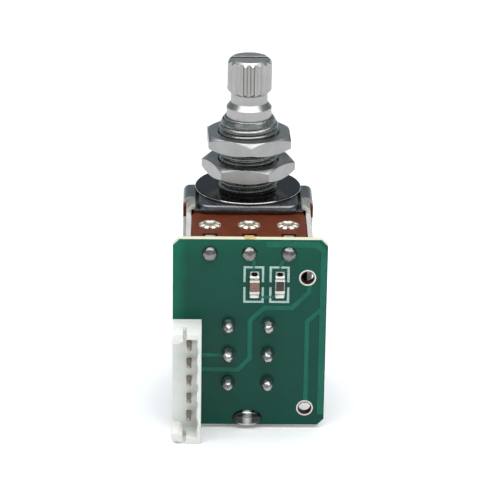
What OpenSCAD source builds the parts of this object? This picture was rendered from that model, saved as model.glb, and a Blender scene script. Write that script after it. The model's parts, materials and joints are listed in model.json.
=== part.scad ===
// Push-pull rotary potentiometer with a switch section and a small circuit board.
// The shaft axis is Z. The origin is on that axis, on the face that meets the panel.
// The circuit board stands in front of the body, towards -Y. Millimetres.

/* [Shaft] */
// Radius of the plain part of the shaft that turns in the bushing
shaft_r = 3.0; // [2.6:0.1:3.2]
// Height of the shaft's tip above the panel face, pushed in
shaft_top = 18.15; // [17:0.05:20]
// Height of the splined head, with its chamfers
spline_h = 4.75; // [4:0.05:5.2]
// Radius over the spline's teeth
spline_r = 2.95; // [2.6:0.05:3.1]
// Number of teeth on the spline
spline_teeth = 18; // [12:1:24]
// Depth of the grooves between the teeth
spline_depth = 0.3; // [0.15:0.05:0.4]
// Chamfer at the ends of the spline
spline_chamfer = 0.5; // [0.3:0.05:0.6]
// Radius of the neck below the spline
neck_r = 2.45; // [2.1:0.05:2.5]
// Straight height of the neck
neck_h = 1.2; // [0.4:0.1:1.4]
// Height of the cone between the neck and the plain part
cone_h = 0.7; // [0.5:0.1:1.6]
// Width of the slot that splits the head
slot_w = 0.8; // [0.6:0.1:1.2]
// How far the slot is sawn behind the shaft's axis
slot_shift = 0.4; // [-0.5:0.1:0.5]
// Depth of the slot that splits the head
slot_depth = 4.0; // [1:0.1:6]
// Turn of the spline's first tooth from the front, in degrees
spline_turn = 7.5; // [0:0.5:20]
// Width across the two flats that drive the rotor
flat_w = 4.0; // [3.4:0.1:4.4]
// Travel between pushed in and pulled out
travel = 4.0; // [3:0.1:4.1]

/* [Bushing, nuts and washer] */
// Radius over the bushing's thread
bushing_r = 3.95; // [3.8:0.05:4.2]
// Height of the bushing above the panel face
bushing_h = 10.15; // [9.6:0.05:10.6]
// Height of the chamfer at the bushing's top
bushing_chamfer_h = 1.15; // [0.6:0.05:1.3]
// Inward run of the chamfer at the bushing's top
bushing_chamfer_w = 0.6; // [0.3:0.05:0.65]
// Width across the flats of a nut
nut_af = 10.9; // [10:0.1:12]
// Thickness of a nut
nut_h = 2.0; // [1.6:0.1:2.2]
// Height of the chamfer on a nut's corners
nut_chamfer_h = 0.5; // [0.3:0.05:0.6]
// Height of the lower nut's underside above the panel face
lower_nut_z = 2.3; // [1:0.1:3]
// Height of the upper nut's underside above the panel face
upper_nut_z = 6.05; // [5.5:0.05:7]
// Turn of the lower nut about the shaft, in degrees
lower_nut_turn = -5.6; // [-30:0.1:30]
// Turn of the upper nut about the shaft, in degrees
upper_nut_turn = 32.6; // [0:0.1:60]
// Radius of the washer
washer_r = 7.1; // [6.4:0.1:7.4]
// Thickness of the washer
washer_t = 0.35; // [0.2:0.05:0.6]

/* [Front plate] */
// Thickness of the front plate
plate_t = 1.2; // [1.1:0.05:1.6]
// Radius of the plate's round rear half
plate_r = 6.8; // [6.2:0.1:6.9]
// Half width of the plate's square front
plate_half_w = 6.65; // [6.2:0.05:6.8]
// Distance from the shaft axis to the plate's front edge
plate_front = 7.35; // [7:0.05:7.6]
// Radius of the plate's front corners
plate_corner_r = 1.5; // [0.8:0.1:2]
// Bevel along the plate's upper edge
plate_bevel = 0.3; // [0.1:0.05:0.4]
// Thickness of the ledges that the frames' tabs hold down
ledge_t = 0.45; // [0.3:0.05:0.6]

/* [Wafer and its terminals] */
// Thickness of the wafer that carries the resistive track
wafer_t = 1.6; // [1.2:0.1:1.8]
// Length of the wafer's side ears, along Y
ear_len = 0.95; // [0.6:0.05:1.2]
// Distance that the ears stand out past the clamp frame
ear_out = 0.45; // [0.3:0.05:1]
// Distance between neighbouring terminals of the potentiometer
pot_pitch = 5.08; // [4.9:0.02:5.2]
// Distance from the shaft axis to the row of eyelets
eyelet_y = 11.2; // [10.4:0.1:11.4]
// Radius over the petals of an eyelet's star
eyelet_r = 1.5; // [1.3:0.05:1.6]
// Number of petals on an eyelet's star
eyelet_petals = 8; // [6:1:10]
// Thickness of the terminals' sheet
terminal_t = 0.4; // [0.3:0.05:0.45]
// Width of a potentiometer terminal's blade
blade_w = 1.3; // [1:0.1:1.5]
// Depth of the three notches in the wafer's front edge
notch_depth = 1.1; // [0.9:0.05:1.3]
// Height of the pins that pass through the board, below the panel face
pot_pin_z = 3.2; // [3.2:0.05:3.4]

/* [Resistive element and rotor] */
// Inner radius of the resistive track
track_in_r = 5.0; // [4.9:0.05:5.1]
// Outer radius of the resistive track
track_out_r = 6.2; // [6:0.05:6.3]
// Angle that the resistive track covers, in degrees
track_angle = 300; // [280:5:320]
// Thickness of the printed track and the collector ring
track_t = 0.08; // [0.05:0.01:0.1]
// Turn of the shaft from one end stop to the other, in degrees
turn_range = 300; // [270:5:300]
// Radius of the rotor's disc
rotor_r = 6.3; // [6.2:0.05:6.4]
// Radius of the rotor's hub
hub_r = 3.9; // [3.6:0.05:4]

/* [Case and clamp frame] */
// Depth of the moulded case below the wafer
case_h = 5.8; // [5.6:0.1:7]
// Half width of the case
case_half_w = 7.45; // [7.3:0.05:7.5]
// Thickness of the case's floor
case_floor_t = 1.0; // [0.8:0.1:1.4]
// Radius of the chamber that the rotor turns in
chamber_r = 6.7; // [6.6:0.05:6.8]
// Distance from the shaft axis to the front of the case's shelf
shelf_front = 12.6; // [11:0.1:13]
// Sheet thickness of the clamp frame
clamp_t = 0.65; // [0.5:0.05:0.65]

/* [Switch] */
// Sheet thickness of the switch frame
frame_t = 0.45; // [0.4:0.05:0.6]
// Half width of the switch frame, outside
switch_half_w = 6.7; // [6.5:0.05:6.8]
// Distance from the shaft axis to the back of the switch frame
switch_back = 5.5; // [5.2:0.1:6.5]
// Thickness of the terminal base
base_t = 1.6; // [1.2:0.1:1.8]
// Distance from the shaft axis to the front of the terminal base
base_front = 9.6; // [9.4:0.1:10.2]
// Distance between the two columns of switch terminals
switch_col = 5.08; // [4.9:0.02:5.2]
// Distance between neighbouring rows of switch terminals
switch_row = 4.06; // [4:0.02:4.1]
// Depth of the first row of switch terminals below the panel face
switch_top_row = 13.1; // [13:0.05:13.3]
// Width of a switch terminal
lug_w = 1.0; // [0.8:0.1:1.1]

/* [Circuit board] */
// Width of the board
board_w = 20.0; // [19.9:0.1:21]
// Distance of the board's middle to the right of the shaft axis
board_shift = 0.13; // [-0.2:0.01:0.2]
// Distance of the board's top edge below the panel face
board_top = 1.2; // [1.2:0.05:1.6]
// Drop of the feet below the board's bottom edge
foot_drop = 0.5; // [0.2:0.1:0.6]
// Distance of the board's bottom edge below the panel face
board_bottom = 27.4; // [27:0.1:27.6]
// Thickness of the board
board_t = 1.0; // [0.8:0.1:1.6]
// Distance from the shaft axis to the back of the board
board_back = 15.3; // [15:0.1:15.8]
// Chamfer on three corners of the board
board_chamfer = 0.85; // [0.4:0.05:1.2]
// Radius of the two plated wire holes
wire_hole_r = 0.8; // [0.5:0.05:0.85]
// Width of the silvered ring around a wire hole
wire_ring_w = 0.3; // [0.2:0.02:0.4]
// Distance of the wire holes from the board's right edge
wire_hole_inset = 2.55; // [2.2:0.05:3]
// Depth of the upper wire hole below the panel face
upper_hole_z = 6.45; // [6:0.05:7]
// Depth of the lower wire hole below the panel face
lower_hole_z = 24.95; // [24.5:0.05:25.2]
// Radius of a solder joint
solder_r = 1.0; // [0.95:0.05:1.15]
// Height of a solder joint on a potentiometer pin
pot_joint_h = 0.6; // [0.5:0.05:0.9]
// Height of a solder joint on a switch terminal
switch_joint_h = 1.8; // [1.6:0.05:2]

/* [Chip parts] */
// Length of a chip part
chip_l = 2.0; // [1.6:0.05:2.2]
// Width of a chip part
chip_w = 1.25; // [0.8:0.05:1.4]
// Length of a chip part's metal ends
chip_end = 0.4; // [0.2:0.05:0.6]
// Depth of the chip parts' middle below the panel face
chip_z = 7.5; // [7:0.05:8]
// Place of the chip capacitor, to the right of the shaft axis
cap_x = 0.72; // [0.2:0.02:1]
// Height of the chip capacitor above the board
cap_h = 0.8; // [0.5:0.05:1.2]
// Place of the chip resistor, to the right of the shaft axis
res_x = 4.02; // [3.4:0.02:4.2]
// Height of the chip resistor above the board
res_h = 0.5; // [0.5:0.05:0.8]
// Length of the solder fillet past each end of a chip part
chip_fillet_l = 0.9; // [0.4:0.05:1.2]
// Height of the solder fillet against a chip part's end
chip_fillet_h = 0.45; // [0.2:0.05:0.5]

/* [Connector] */
// Number of connector pins
pin_count = 5; // [3:1:5]
// Distance between connector pins
pin_pitch = 2.5; // [2.4:0.1:2.5]
// Width of the connector
conn_w = 3.8; // [3.6:0.1:4]
// Length of the connector beyond its outer pins, at each end
conn_end = 2.625; // [2.3:0.025:2.7]
// Height of the connector above the board
conn_h = 5.1; // [4.6:0.1:7]
// Thickness of the connector's floor
conn_floor_t = 1.7; // [1.4:0.1:2]
// Thickness of the connector's end walls
conn_end_t = 0.8; // [0.6:0.05:1]
// Thickness of the connector's thin side wall
conn_side_t = 0.55; // [0.4:0.05:0.7]
// Width of a connector pin
pin_w = 0.64; // [0.5:0.02:0.7]
// Distance that the connector stands out past the board's left edge
conn_overhang = 0; // [0:0.05:0.4]
// Width of the end blocks beside the connector's slots
conn_block_w = 1.4; // [1.2:0.05:1.6]
// Thickness of the connector's left end blocks
conn_foot_t = 1.35; // [0.8:0.05:1.5]
// Rise of the lower left block above the surface that the connector stands on
conn_step = 0.3; // [0.1:0.05:0.4]
// Width of the slot in each end of the connector
conn_slot_w = 0.5; // [0.3:0.05:0.7]
// Depth of the slot in each end of the connector
conn_slot_depth = 2.6; // [2:0.1:4]
// Depth of the scallops along the thin side wall
scallop_depth = 0.18; // [0.1:0.02:0.3]

/* [Clearances] */
// Gap between the shaft and the bushing
shaft_gap = 0.04; // [0.02:0.01:0.08]
// Gap between the shaft's drive and the rotor
drive_gap = 0.05; // [0.03:0.01:0.08]
// Gap between a moving contact and what it wipes
contact_gap = 0.04; // [0.02:0.01:0.08]
// Gap between a nut and the bushing's thread
nut_gap = 0.02; // [0.01:0.01:0.05]
// Gap beside a sliding or hand-fitted piece
loose_gap = 0.1; // [0.06:0.01:0.15]

/* [Hidden] */
$fn = 96;
eps = 0.01;

// Levels of the stack, from the panel face down
ledge_z = -plate_t + ledge_t;
wafer_top = -plate_t;
wafer_bottom = wafer_top - wafer_t;
case_bottom = wafer_bottom - case_h;
chamber_floor = case_bottom + case_floor_t;
clamp_bottom = case_bottom - clamp_t;
switch_ceiling = clamp_bottom - frame_t;
foot_z = -(board_bottom + foot_drop);
switch_floor = foot_z + frame_t;

// Bushing and shaft
bore_r = shaft_r + shaft_gap;
spigot_r = bore_r + 0.4;
lip_t = 0.35;
lip_r = spigot_r + lip_t;
pass_r = shaft_r + 0.3;
spline_bottom = shaft_top - spline_h;
journal_top = spline_bottom - neck_h - cone_h;
journal_bottom = wafer_bottom + 0.2;
drive_r = shaft_r - 0.1;
yoke_t = 0.9;
yoke_gap = 0.05;
groove_r = 1.5;
head_r = 2.4;
head_h = 0.8;
head_chamfer = 0.2;
slider_top = switch_ceiling - travel - 2 * loose_gap;
groove_top = slider_top + yoke_gap;
groove_bottom = slider_top - yoke_t - yoke_gap;

// Wafer, a little wider than the case below it
wafer_half_w = case_half_w + loose_gap / 2;
wafer_r = case_half_w - 1.5 * loose_gap;

// Clamp frame: walls beside the wafer, tabs on the plate's ledges
clamp_in = wafer_half_w + loose_gap / 2;
clamp_out = clamp_in + clamp_t;
clamp_rear = 1.9;
clamp_front = board_back - loose_gap;
bend_r = 0.9;
tab_reach = clamp_out - 1.2;
clamp_tab_y = [-6.7, -4.1];
arm_y = [-2.9, 1.8];
ear_y0 = arm_y[0] - loose_gap / 2 - ear_len;
arm_out = clamp_out + frame_t;

// Eyelets and terminals
barrel_r = 0.9;
barrel_bore_r = 0.6;
star_t = 0.3;
flange_r = 1.3;
flange_t = 0.25;
strip_bottom = wafer_bottom - terminal_t;
strip_w = 1.7;
blade_y = -board_back + 0.4;
blade_top = wafer_top - loose_gap;
pot_pin_w = 1.0;
pot_pin_out = 0.45;
notch_w = blade_w + 0.6;
shelf_top = strip_bottom - flange_t - 0.25;

// Rotor and wiper
track_bottom = wafer_bottom - track_t;
collector_in_r = 4.25;
collector_out_r = 4.7;
wiper_rise = 0.72;
disc_top = track_bottom - wiper_rise;
disc_t = 1.0;
hub_rise = 0.3;
lug_h = 1.5;
lug_half_angle = 10;
post_half_angle = (360 - turn_range) / 2 - lug_half_angle - 1;
stop_gap = 0.5;
wiper_t = 0.15;
wiper_tip = track_bottom - contact_gap;

// Switch
side_in = switch_half_w - frame_t;
back_in = switch_back - frame_t;
base_rear = base_front - base_t;
rivet_r = 0.9;
rivet_h = 0.5;
lug_t = 0.5;
lug_shoulder_w = lug_w + 0.6;
lug_shoulder_l = 0.6;
lug_out = 1.55;
contact_w = 1.6;
slider_front = base_rear - 2.0;
slider_back = back_in - 1.6;
slider_half_w = side_in - 0.9;
slider_bottom = switch_floor + loose_gap;
notch_z = -17.5;
detent_depth = 0.35;
leaf_t = 0.2;
leaf_half_l = 3.2;
leaf_half_w = 1.5;
ground_z = -(board_bottom - 1.0);
ground_w = 2.4;
ground_out = 0.4;

// Board
board_front = board_back + board_t;
board_left = board_shift - board_w / 2;
board_right = board_shift + board_w / 2;
wire_hole_x = board_right - wire_hole_inset;
hole_r = 0.65;
ring_t = 0.04;
chip_plating = 0.02;

// Outline of a solder joint, as shares of its radius and its height
solder_profile = [[1, 0], [0.92, 0.14], [0.8, 0.36], [0.7, 0.66], [0.58, 0.88], [0.42, 1]];

// Connector
conn_left = conn_overhang - board_left;
conn_right = conn_left - conn_w;
conn_bottom = foot_z;
conn_len = (pin_count - 1) * pin_pitch + 2 * conn_end + conn_step;
conn_top = conn_bottom + conn_len;
conn_front = board_front + conn_h;
floor_front = board_front + conn_floor_t;
conn_corner_r = 0.9;
pin_x = -(conn_left + conn_right) / 2 + 0.3;
pin_reach = 2.3;
pin_taper = 0.6;
pin_back = 0.8;
pin_hole_r = 0.5;
pin_joint_h = 0.7;

function arc(cx, cy, r, a0, a1, n = 8) =
    [for (i = [0 : n]) let (a = a0 + (a1 - a0) * i / n) [cx + r * cos(a), cy + r * sin(a)]];

function pot_x(i) = (i - 2) * pot_pitch;
function switch_x(i) = (i <= 3 ? -1 : 1) * switch_col / 2;
function switch_z(i) = -(switch_top_row + ((i - 1) % 3) * switch_row);
function pin_z(i) = conn_top - conn_end - (i - 1) * pin_pitch;

// A block between two corners
module block(low, high) {
    translate(low) cube(high - low);
}

// A profile drawn in X and Z, drawn out along Y from y0 to y1
module along_y(y0, y1) {
    translate([0, y1, 0]) rotate([90, 0, 0]) linear_extrude(y1 - y0) children();
}

// A profile drawn in Y and Z, drawn out along X from x0 to x1
module along_x(x0, x1) {
    translate([x0, 0, 0]) rotate([90, 0, 90]) linear_extrude(x1 - x0) children();
}

// A wedge of a circle, centred on an angle
module wedge(mid, half, r) {
    polygon(concat([[0, 0]], arc(0, 0, r, mid - half, mid + half, 6)));
}

// A round solid about an axis that points to the front from (x, y, z)
module to_front(x, y, z) {
    translate([x, y, z]) rotate([90, 0, 0]) children();
}

// Both sides of the body
module both_sides() {
    children();
    mirror([1, 0, 0]) children();
}

module spline_teeth() {
    land = 1.6;
    root = 2.6;
    step = 360 / spline_teeth;
    inner = spline_r - spline_depth;
    linear_extrude(spline_h)
        polygon([for (i = [0 : spline_teeth - 1], k = [0 : 3])
            let (a = -90 + spline_turn + i * step + [-land, land, step / 2 - root, step / 2 + root][k],
                 r = k < 2 ? spline_r : inner)
            [r * cos(a), r * sin(a)]]);
}

module shaft() color("silver") {
    difference() {
        union() {
            translate([0, 0, spline_bottom]) intersection() {
                spline_teeth();
                rotate_extrude() polygon([
                    [0, 0], [neck_r, 0], [neck_r + spline_chamfer, spline_chamfer],
                    [neck_r + spline_chamfer, spline_h - spline_chamfer],
                    [neck_r, spline_h], [0, spline_h]]);
            }
            rotate_extrude() polygon([
                [0, spline_bottom], [neck_r, spline_bottom], [neck_r, spline_bottom - neck_h],
                [shaft_r, journal_top], [shaft_r, journal_bottom], [0, journal_bottom]]);
        }
        block([-spline_r - 1, slot_shift - slot_w / 2, shaft_top - slot_depth],
              [spline_r + 1, slot_shift + slot_w / 2, shaft_top + 1]);
    }
    intersection() {
        translate([0, 0, groove_top]) cylinder(r = drive_r, h = journal_bottom - groove_top);
        block([-drive_r, -flat_w / 2, groove_top], [drive_r, flat_w / 2, journal_bottom]);
    }
    rotate_extrude() polygon([
        [0, groove_top], [groove_r, groove_top], [groove_r, groove_bottom], [head_r, groove_bottom],
        [head_r, groove_bottom - head_h + head_chamfer],
        [head_r - head_chamfer, groove_bottom - head_h], [0, groove_bottom - head_h]]);
}

module bushing() color("lightslategray")
    rotate_extrude() polygon([
        [bore_r, bushing_h], [bushing_r - bushing_chamfer_w, bushing_h],
        [bushing_r, bushing_h - bushing_chamfer_h], [bushing_r, 0], [spigot_r, 0],
        [spigot_r, -plate_t], [lip_r, -plate_t], [lip_r, -plate_t - lip_t],
        [bore_r, -plate_t - lip_t]]);

module nut(z, turn) {
    corner_r = nut_af / 2 / cos(30);
    face_r = corner_r - nut_chamfer_h / tan(30);
    sink = 0.25;
    hole_r = bushing_r + nut_gap;
    translate([0, 0, z]) difference() {
        intersection() {
            rotate([0, 0, turn]) cylinder(r = corner_r, h = nut_h, $fn = 6);
            rotate_extrude() polygon([
                [0, 0], [face_r, 0], [corner_r, nut_chamfer_h], [corner_r, nut_h - nut_chamfer_h],
                [face_r, nut_h], [0, nut_h]]);
        }
        translate([0, 0, -eps]) cylinder(r = hole_r, h = nut_h + 2 * eps);
        translate([0, 0, nut_h - sink]) cylinder(r1 = hole_r, r2 = hole_r + sink + eps, h = sink + eps);
        translate([0, 0, -eps]) cylinder(r1 = hole_r + sink + eps, r2 = hole_r, h = sink + eps);
    }
}

module nut_upper() color("gainsboro") nut(upper_nut_z, upper_nut_turn);
module nut_lower() color("gainsboro") nut(lower_nut_z, lower_nut_turn);

module washer() color("dimgray") {
    edge = washer_t / 3;
    rotate_extrude() polygon([
        [bushing_r + loose_gap, 0], [washer_r - edge, 0], [washer_r, edge],
        [washer_r, washer_t - edge], [washer_r - edge, washer_t], [bushing_r + loose_gap, washer_t]]);
}

// A round slab of the plate's thickness with its upper edge bevelled
module bevelled_disc(r) {
    rotate_extrude() polygon([
        [0, -plate_t], [r, -plate_t], [r, -plate_bevel], [r - plate_bevel, 0], [0, 0]]);
}

module front_plate() color([0.25, 0.26, 0.27]) {
    corner_x = plate_half_w - plate_corner_r;
    corner_y = plate_front - plate_corner_r;
    difference() {
        union() {
            bevelled_disc(plate_r);
            for (x = [-corner_x, corner_x]) translate([x, -corner_y, 0]) bevelled_disc(plate_corner_r);
            along_y(-corner_y, 0) polygon([
                [-plate_half_w, -plate_t], [-plate_half_w, -plate_bevel],
                [-plate_half_w + plate_bevel, 0], [plate_half_w - plate_bevel, 0],
                [plate_half_w, -plate_bevel], [plate_half_w, -plate_t]]);
            along_x(-corner_x, corner_x) polygon([
                [0, -plate_t], [0, 0], [-plate_front + plate_bevel, 0],
                [-plate_front, -plate_bevel], [-plate_front, -plate_t]]);
            both_sides()
                block([0, clamp_tab_y[0], -plate_t], [clamp_out - bend_r, arm_y[1], ledge_z]);
        }
        translate([0, 0, -plate_t - 1]) cylinder(r = spigot_r, h = plate_t + 2);
    }
}

// A tab of a folded frame: its wall rises outside, bends over and lies on a ledge
module folded_tab(outside, sheet, top, y0, y1, wall_bottom) {
    cx = outside - bend_r;
    cz = top - bend_r;
    along_y(y0, y1) polygon(concat(
        [[outside, wall_bottom]], arc(cx, cz, bend_r, 0, 90), [[tab_reach, top], [tab_reach, top - sheet]],
        arc(cx, cz, bend_r - sheet, 90, 0), [[outside - sheet, wall_bottom]]));
}

module clamp_frame() color("lightgray") {
    corner = 1.6;
    tail_w = 5.4;
    tail_y = 6.4;
    difference() {
        union() {
            both_sides() {
                along_y(-clamp_front, clamp_rear) polygon(concat(
                    [[clamp_out, wafer_top]],
                    arc(clamp_out - bend_r, clamp_bottom + bend_r, bend_r, 0, -90),
                    [[0, clamp_bottom], [0, case_bottom]],
                    arc(clamp_in - loose_gap, case_bottom + loose_gap, loose_gap, -90, 0),
                    [[clamp_in, wafer_top]]));
                folded_tab(clamp_out, clamp_t, ledge_z + clamp_t,
                           clamp_tab_y[0], clamp_tab_y[1], wafer_top - 1);
            }
            translate([0, 0, clamp_bottom]) linear_extrude(clamp_t)
                polygon([[-tail_w, 0], [tail_w, 0], [tail_w, tail_y - corner],
                         [tail_w - corner, tail_y], [-tail_w + corner, tail_y],
                         [-tail_w, tail_y - corner]]);
        }
        translate([0, 0, clamp_bottom - 1]) cylinder(r = pass_r, h = clamp_t + 2);
        block([-clamp_in, -board_back, clamp_bottom - 1], [clamp_in, -shelf_front, case_bottom + 1]);
        both_sides() {
            block([clamp_in - 1, ear_y0 - loose_gap / 2, wafer_bottom - loose_gap / 2],
                  [clamp_out + 1, arm_y[0], 1]);
            along_x(clamp_in - 1, clamp_out + 1) polygon([
                [-board_back - 1, clamp_bottom - 1], [-shelf_front, clamp_bottom - 1],
                [-board_back - 1, clamp_bottom + board_back + 1 - shelf_front + 1]]);
        }
    }
}

module wafer() color([0.44, 0.22, 0.15])
    translate([0, 0, wafer_bottom]) linear_extrude(wafer_t) difference() {
        union() {
            circle(r = wafer_r);
            translate([-wafer_r, -plate_front + 0.15]) square([2 * wafer_r, plate_front - 0.15]);
            translate([-wafer_half_w, -board_back])
                square([2 * wafer_half_w, board_back - plate_front + 0.15]);
            translate([-clamp_out - ear_out, ear_y0]) square([2 * (clamp_out + ear_out), ear_len]);
        }
        circle(r = lip_r + 0.15);
        for (i = [1 : 3]) {
            translate([pot_x(i), -eyelet_y]) circle(r = barrel_r, $fn = 48);
            translate([pot_x(i) - notch_w / 2, -board_back - 1]) square([notch_w, notch_depth + 1]);
        }
    }

module printed_ring(in_r, out_r) {
    translate([0, 0, track_bottom]) linear_extrude(track_t) difference() {
        circle(r = out_r);
        circle(r = in_r);
        wedge(-90, (360 - track_angle) / 2, 2 * out_r);
    }
}

module resistive_track() color("black") printed_ring(track_in_r, track_out_r);
module collector_ring() color("silver") printed_ring(collector_in_r, collector_out_r);

module pot_case() color([0.36, 0.19, 0.13]) {
    difference() {
        union() {
            translate([0, 0, case_bottom]) cylinder(r = case_half_w, h = case_h);
            block([-case_half_w, -case_half_w, case_bottom], [case_half_w, 0, wafer_bottom]);
            block([-case_half_w, -shelf_front, case_bottom], [case_half_w, 0, shelf_top]);
        }
        translate([0, 0, chamber_floor]) cylinder(r = chamber_r, h = case_h);
        translate([0, 0, case_bottom - 1]) cylinder(r = pass_r, h = case_h);
    }
    // Post that the rotor's lug meets at both ends of its turn
    translate([0, 0, chamber_floor]) linear_extrude(disc_top - disc_t - stop_gap - chamber_floor)
        difference() {
            intersection() {
                circle(r = chamber_r);
                wedge(-90, post_half_angle, 2 * chamber_r);
            }
            circle(r = hub_r + stop_gap);
        }
}

module drive_profile(gap) {
    intersection() {
        circle(r = drive_r + gap);
        square([2 * drive_r + 1, flat_w + 2 * gap], center = true);
    }
}

module rotor() color("whitesmoke") {
    disc_bottom = disc_top - disc_t;
    hub_bottom = chamber_floor + drive_gap;
    hub_top = disc_top + hub_rise;
    difference() {
        union() {
            translate([0, 0, disc_bottom]) cylinder(r = rotor_r, h = disc_t);
            translate([0, 0, hub_bottom]) cylinder(r = hub_r, h = hub_top - hub_bottom);
            translate([0, 0, disc_bottom - lug_h]) linear_extrude(lug_h + eps) difference() {
                intersection() {
                    circle(r = rotor_r);
                    wedge(90, lug_half_angle, 2 * rotor_r);
                }
                circle(r = hub_r + stop_gap);
            }
        }
        translate([0, 0, hub_bottom - 1]) linear_extrude(hub_top - hub_bottom + 2)
            drive_profile(drive_gap);
    }
}

// A finger that rises from the disc to the track, with its bent tip uppermost
module wiper_finger(r0, r1) {
    bend = wiper_tip - 0.7 * wiper_t;
    along_y(r0, r1) polygon([
        [-2.2 * wiper_rise, disc_top], [-2.2 * wiper_rise, disc_top + wiper_t],
        [0.7 * wiper_rise, bend], [1.1 * wiper_rise, wiper_tip], [1.5 * wiper_rise, bend],
        [1.4 * wiper_rise, bend - wiper_t], [0.8 * wiper_rise, bend - wiper_t],
        [-1.8 * wiper_rise, disc_top]]);
}

module wiper_contact() color("goldenrod") {
    translate([0, 0, disc_top]) linear_extrude(wiper_t) difference() {
        intersection() {
            circle(r = rotor_r - 0.2);
            wedge(120, 14, 2 * rotor_r);
        }
        circle(r = hub_r + 0.15);
    }
    wiper_finger(collector_in_r + 0.05, collector_out_r - 0.05);
    wiper_finger(track_in_r + 0.3, track_out_r - 0.3);
}

module eyelet(i) color("silver")
    translate([pot_x(i), -eyelet_y, 0]) difference() {
        union() {
            translate([0, 0, strip_bottom]) cylinder(r = barrel_r, h = wafer_top - strip_bottom, $fn = 48);
            translate([0, 0, strip_bottom - flange_t]) cylinder(r = flange_r, h = flange_t, $fn = 48);
            translate([0, 0, wafer_top]) linear_extrude(star_t) polygon([
                for (k = [0 : 2 * eyelet_petals - 1])
                    let (a = (k + 0.5) * 180 / eyelet_petals, r = k % 2 == 0 ? eyelet_r : 0.7 * eyelet_r)
                    [r * cos(a), r * sin(a)]]);
        }
        translate([0, 0, strip_bottom - 1]) cylinder(r = barrel_bore_r, h = wafer_t + 4, $fn = 48);
        translate([0, 0, wafer_top + eps])
            cylinder(r1 = barrel_bore_r, r2 = barrel_bore_r + 0.35, h = star_t, $fn = 48);
    }

module pot_pin(i) {
    block([pot_x(i) - pot_pin_w / 2, -board_front - pot_pin_out, -pot_pin_z - terminal_t / 2],
          [pot_x(i) + pot_pin_w / 2, blade_y, -pot_pin_z + terminal_t / 2]);
}

module pot_terminal(i) color("silver") {
    eye_r = 1.25;
    translate([0, 0, strip_bottom]) linear_extrude(terminal_t) difference() {
        union() {
            translate([pot_x(i), -eyelet_y]) circle(r = eye_r, $fn = 48);
            translate([pot_x(i) - strip_w / 2, blade_y]) square([strip_w, -blade_y - eyelet_y]);
        }
        translate([pot_x(i), -eyelet_y]) circle(r = barrel_r, $fn = 48);
    }
    block([pot_x(i) - blade_w / 2, blade_y, -pot_pin_z - terminal_t / 2],
          [pot_x(i) + blade_w / 2, blade_y + terminal_t, blade_top]);
    pot_pin(i);
}

module switch_frame() color("lightsteelblue") {
    out_r = 0.8;
    lip = 1.5;
    arm_top = ledge_z + frame_t;
    front = base_front + frame_t;
    // Side walls and back wall, folded from one sheet
    translate([0, 0, foot_z]) linear_extrude(clamp_bottom - foot_z) difference() {
        polygon(concat([[-switch_half_w, -front]],
            arc(-switch_half_w + out_r, switch_back - out_r, out_r, 180, 90),
            arc(switch_half_w - out_r, switch_back - out_r, out_r, 90, 0),
            [[switch_half_w, -front]]));
        polygon(concat([[-side_in, -front - 1]],
            arc(-side_in + out_r - frame_t, back_in - out_r + frame_t, out_r - frame_t, 180, 90),
            arc(side_in - out_r + frame_t, back_in - out_r + frame_t, out_r - frame_t, 90, 0),
            [[side_in, -front - 1]]));
    }
    // Bottom plate, and top plate with the hole for the shaft
    block([-side_in, -base_front, foot_z], [side_in, back_in, switch_floor]);
    difference() {
        block([-side_in, -base_front, switch_ceiling], [side_in, back_in, clamp_bottom]);
        translate([0, 0, switch_ceiling - 1]) cylinder(r = pass_r, h = frame_t + 2);
    }
    both_sides() {
        // Arm that reaches up beside the case and folds over the plate's ledge
        block([switch_half_w, arm_y[0], switch_ceiling], [arm_out, arm_y[1], clamp_bottom]);
        block([clamp_out, arm_y[0], clamp_bottom], [arm_out, arm_y[1], wafer_top]);
        folded_tab(arm_out, frame_t, arm_top, arm_y[0], arm_y[1], wafer_top);
        // Lips that hold the terminal base
        block([side_in - lip + frame_t, -front, switch_ceiling - 2 * lip],
              [side_in, -base_front, switch_ceiling - lip]);
        block([side_in - lip + frame_t, -front, switch_floor + lip],
              [side_in, -base_front, switch_floor + 2 * lip]);
    }
    // Earth lug, soldered to the board
    block([-ground_w / 2, -front, foot_z], [ground_w / 2, -base_front, ground_z + frame_t / 2]);
    ground_lug();
}

module ground_lug() {
    block([-ground_w / 2, -board_front - ground_out, ground_z - frame_t / 2],
          [ground_w / 2, -base_front - frame_t, ground_z + frame_t / 2]);
}

module switch_lug(i) {
    block([switch_x(i) - lug_w / 2, -board_front - lug_out, switch_z(i) - lug_t / 2],
          [switch_x(i) + lug_w / 2, -base_rear, switch_z(i) + lug_t / 2]);
}

module switch_base() color([0.45, 0.24, 0.16])
    difference() {
        block([-side_in, -base_front, switch_floor], [side_in, -base_rear, switch_ceiling]);
        for (i = [1 : 6]) switch_lug(i);
    }

module switch_terminal(i) color("silver") {
    switch_lug(i);
    to_front(switch_x(i), -base_rear + rivet_h, switch_z(i)) cylinder(r = rivet_r, h = rivet_h, $fn = 48);
    block([switch_x(i) - lug_shoulder_w / 2, -base_front - lug_shoulder_l, switch_z(i) - lug_t / 2],
          [switch_x(i) + lug_shoulder_w / 2, -base_front, switch_z(i) + lug_t / 2]);
}

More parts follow.
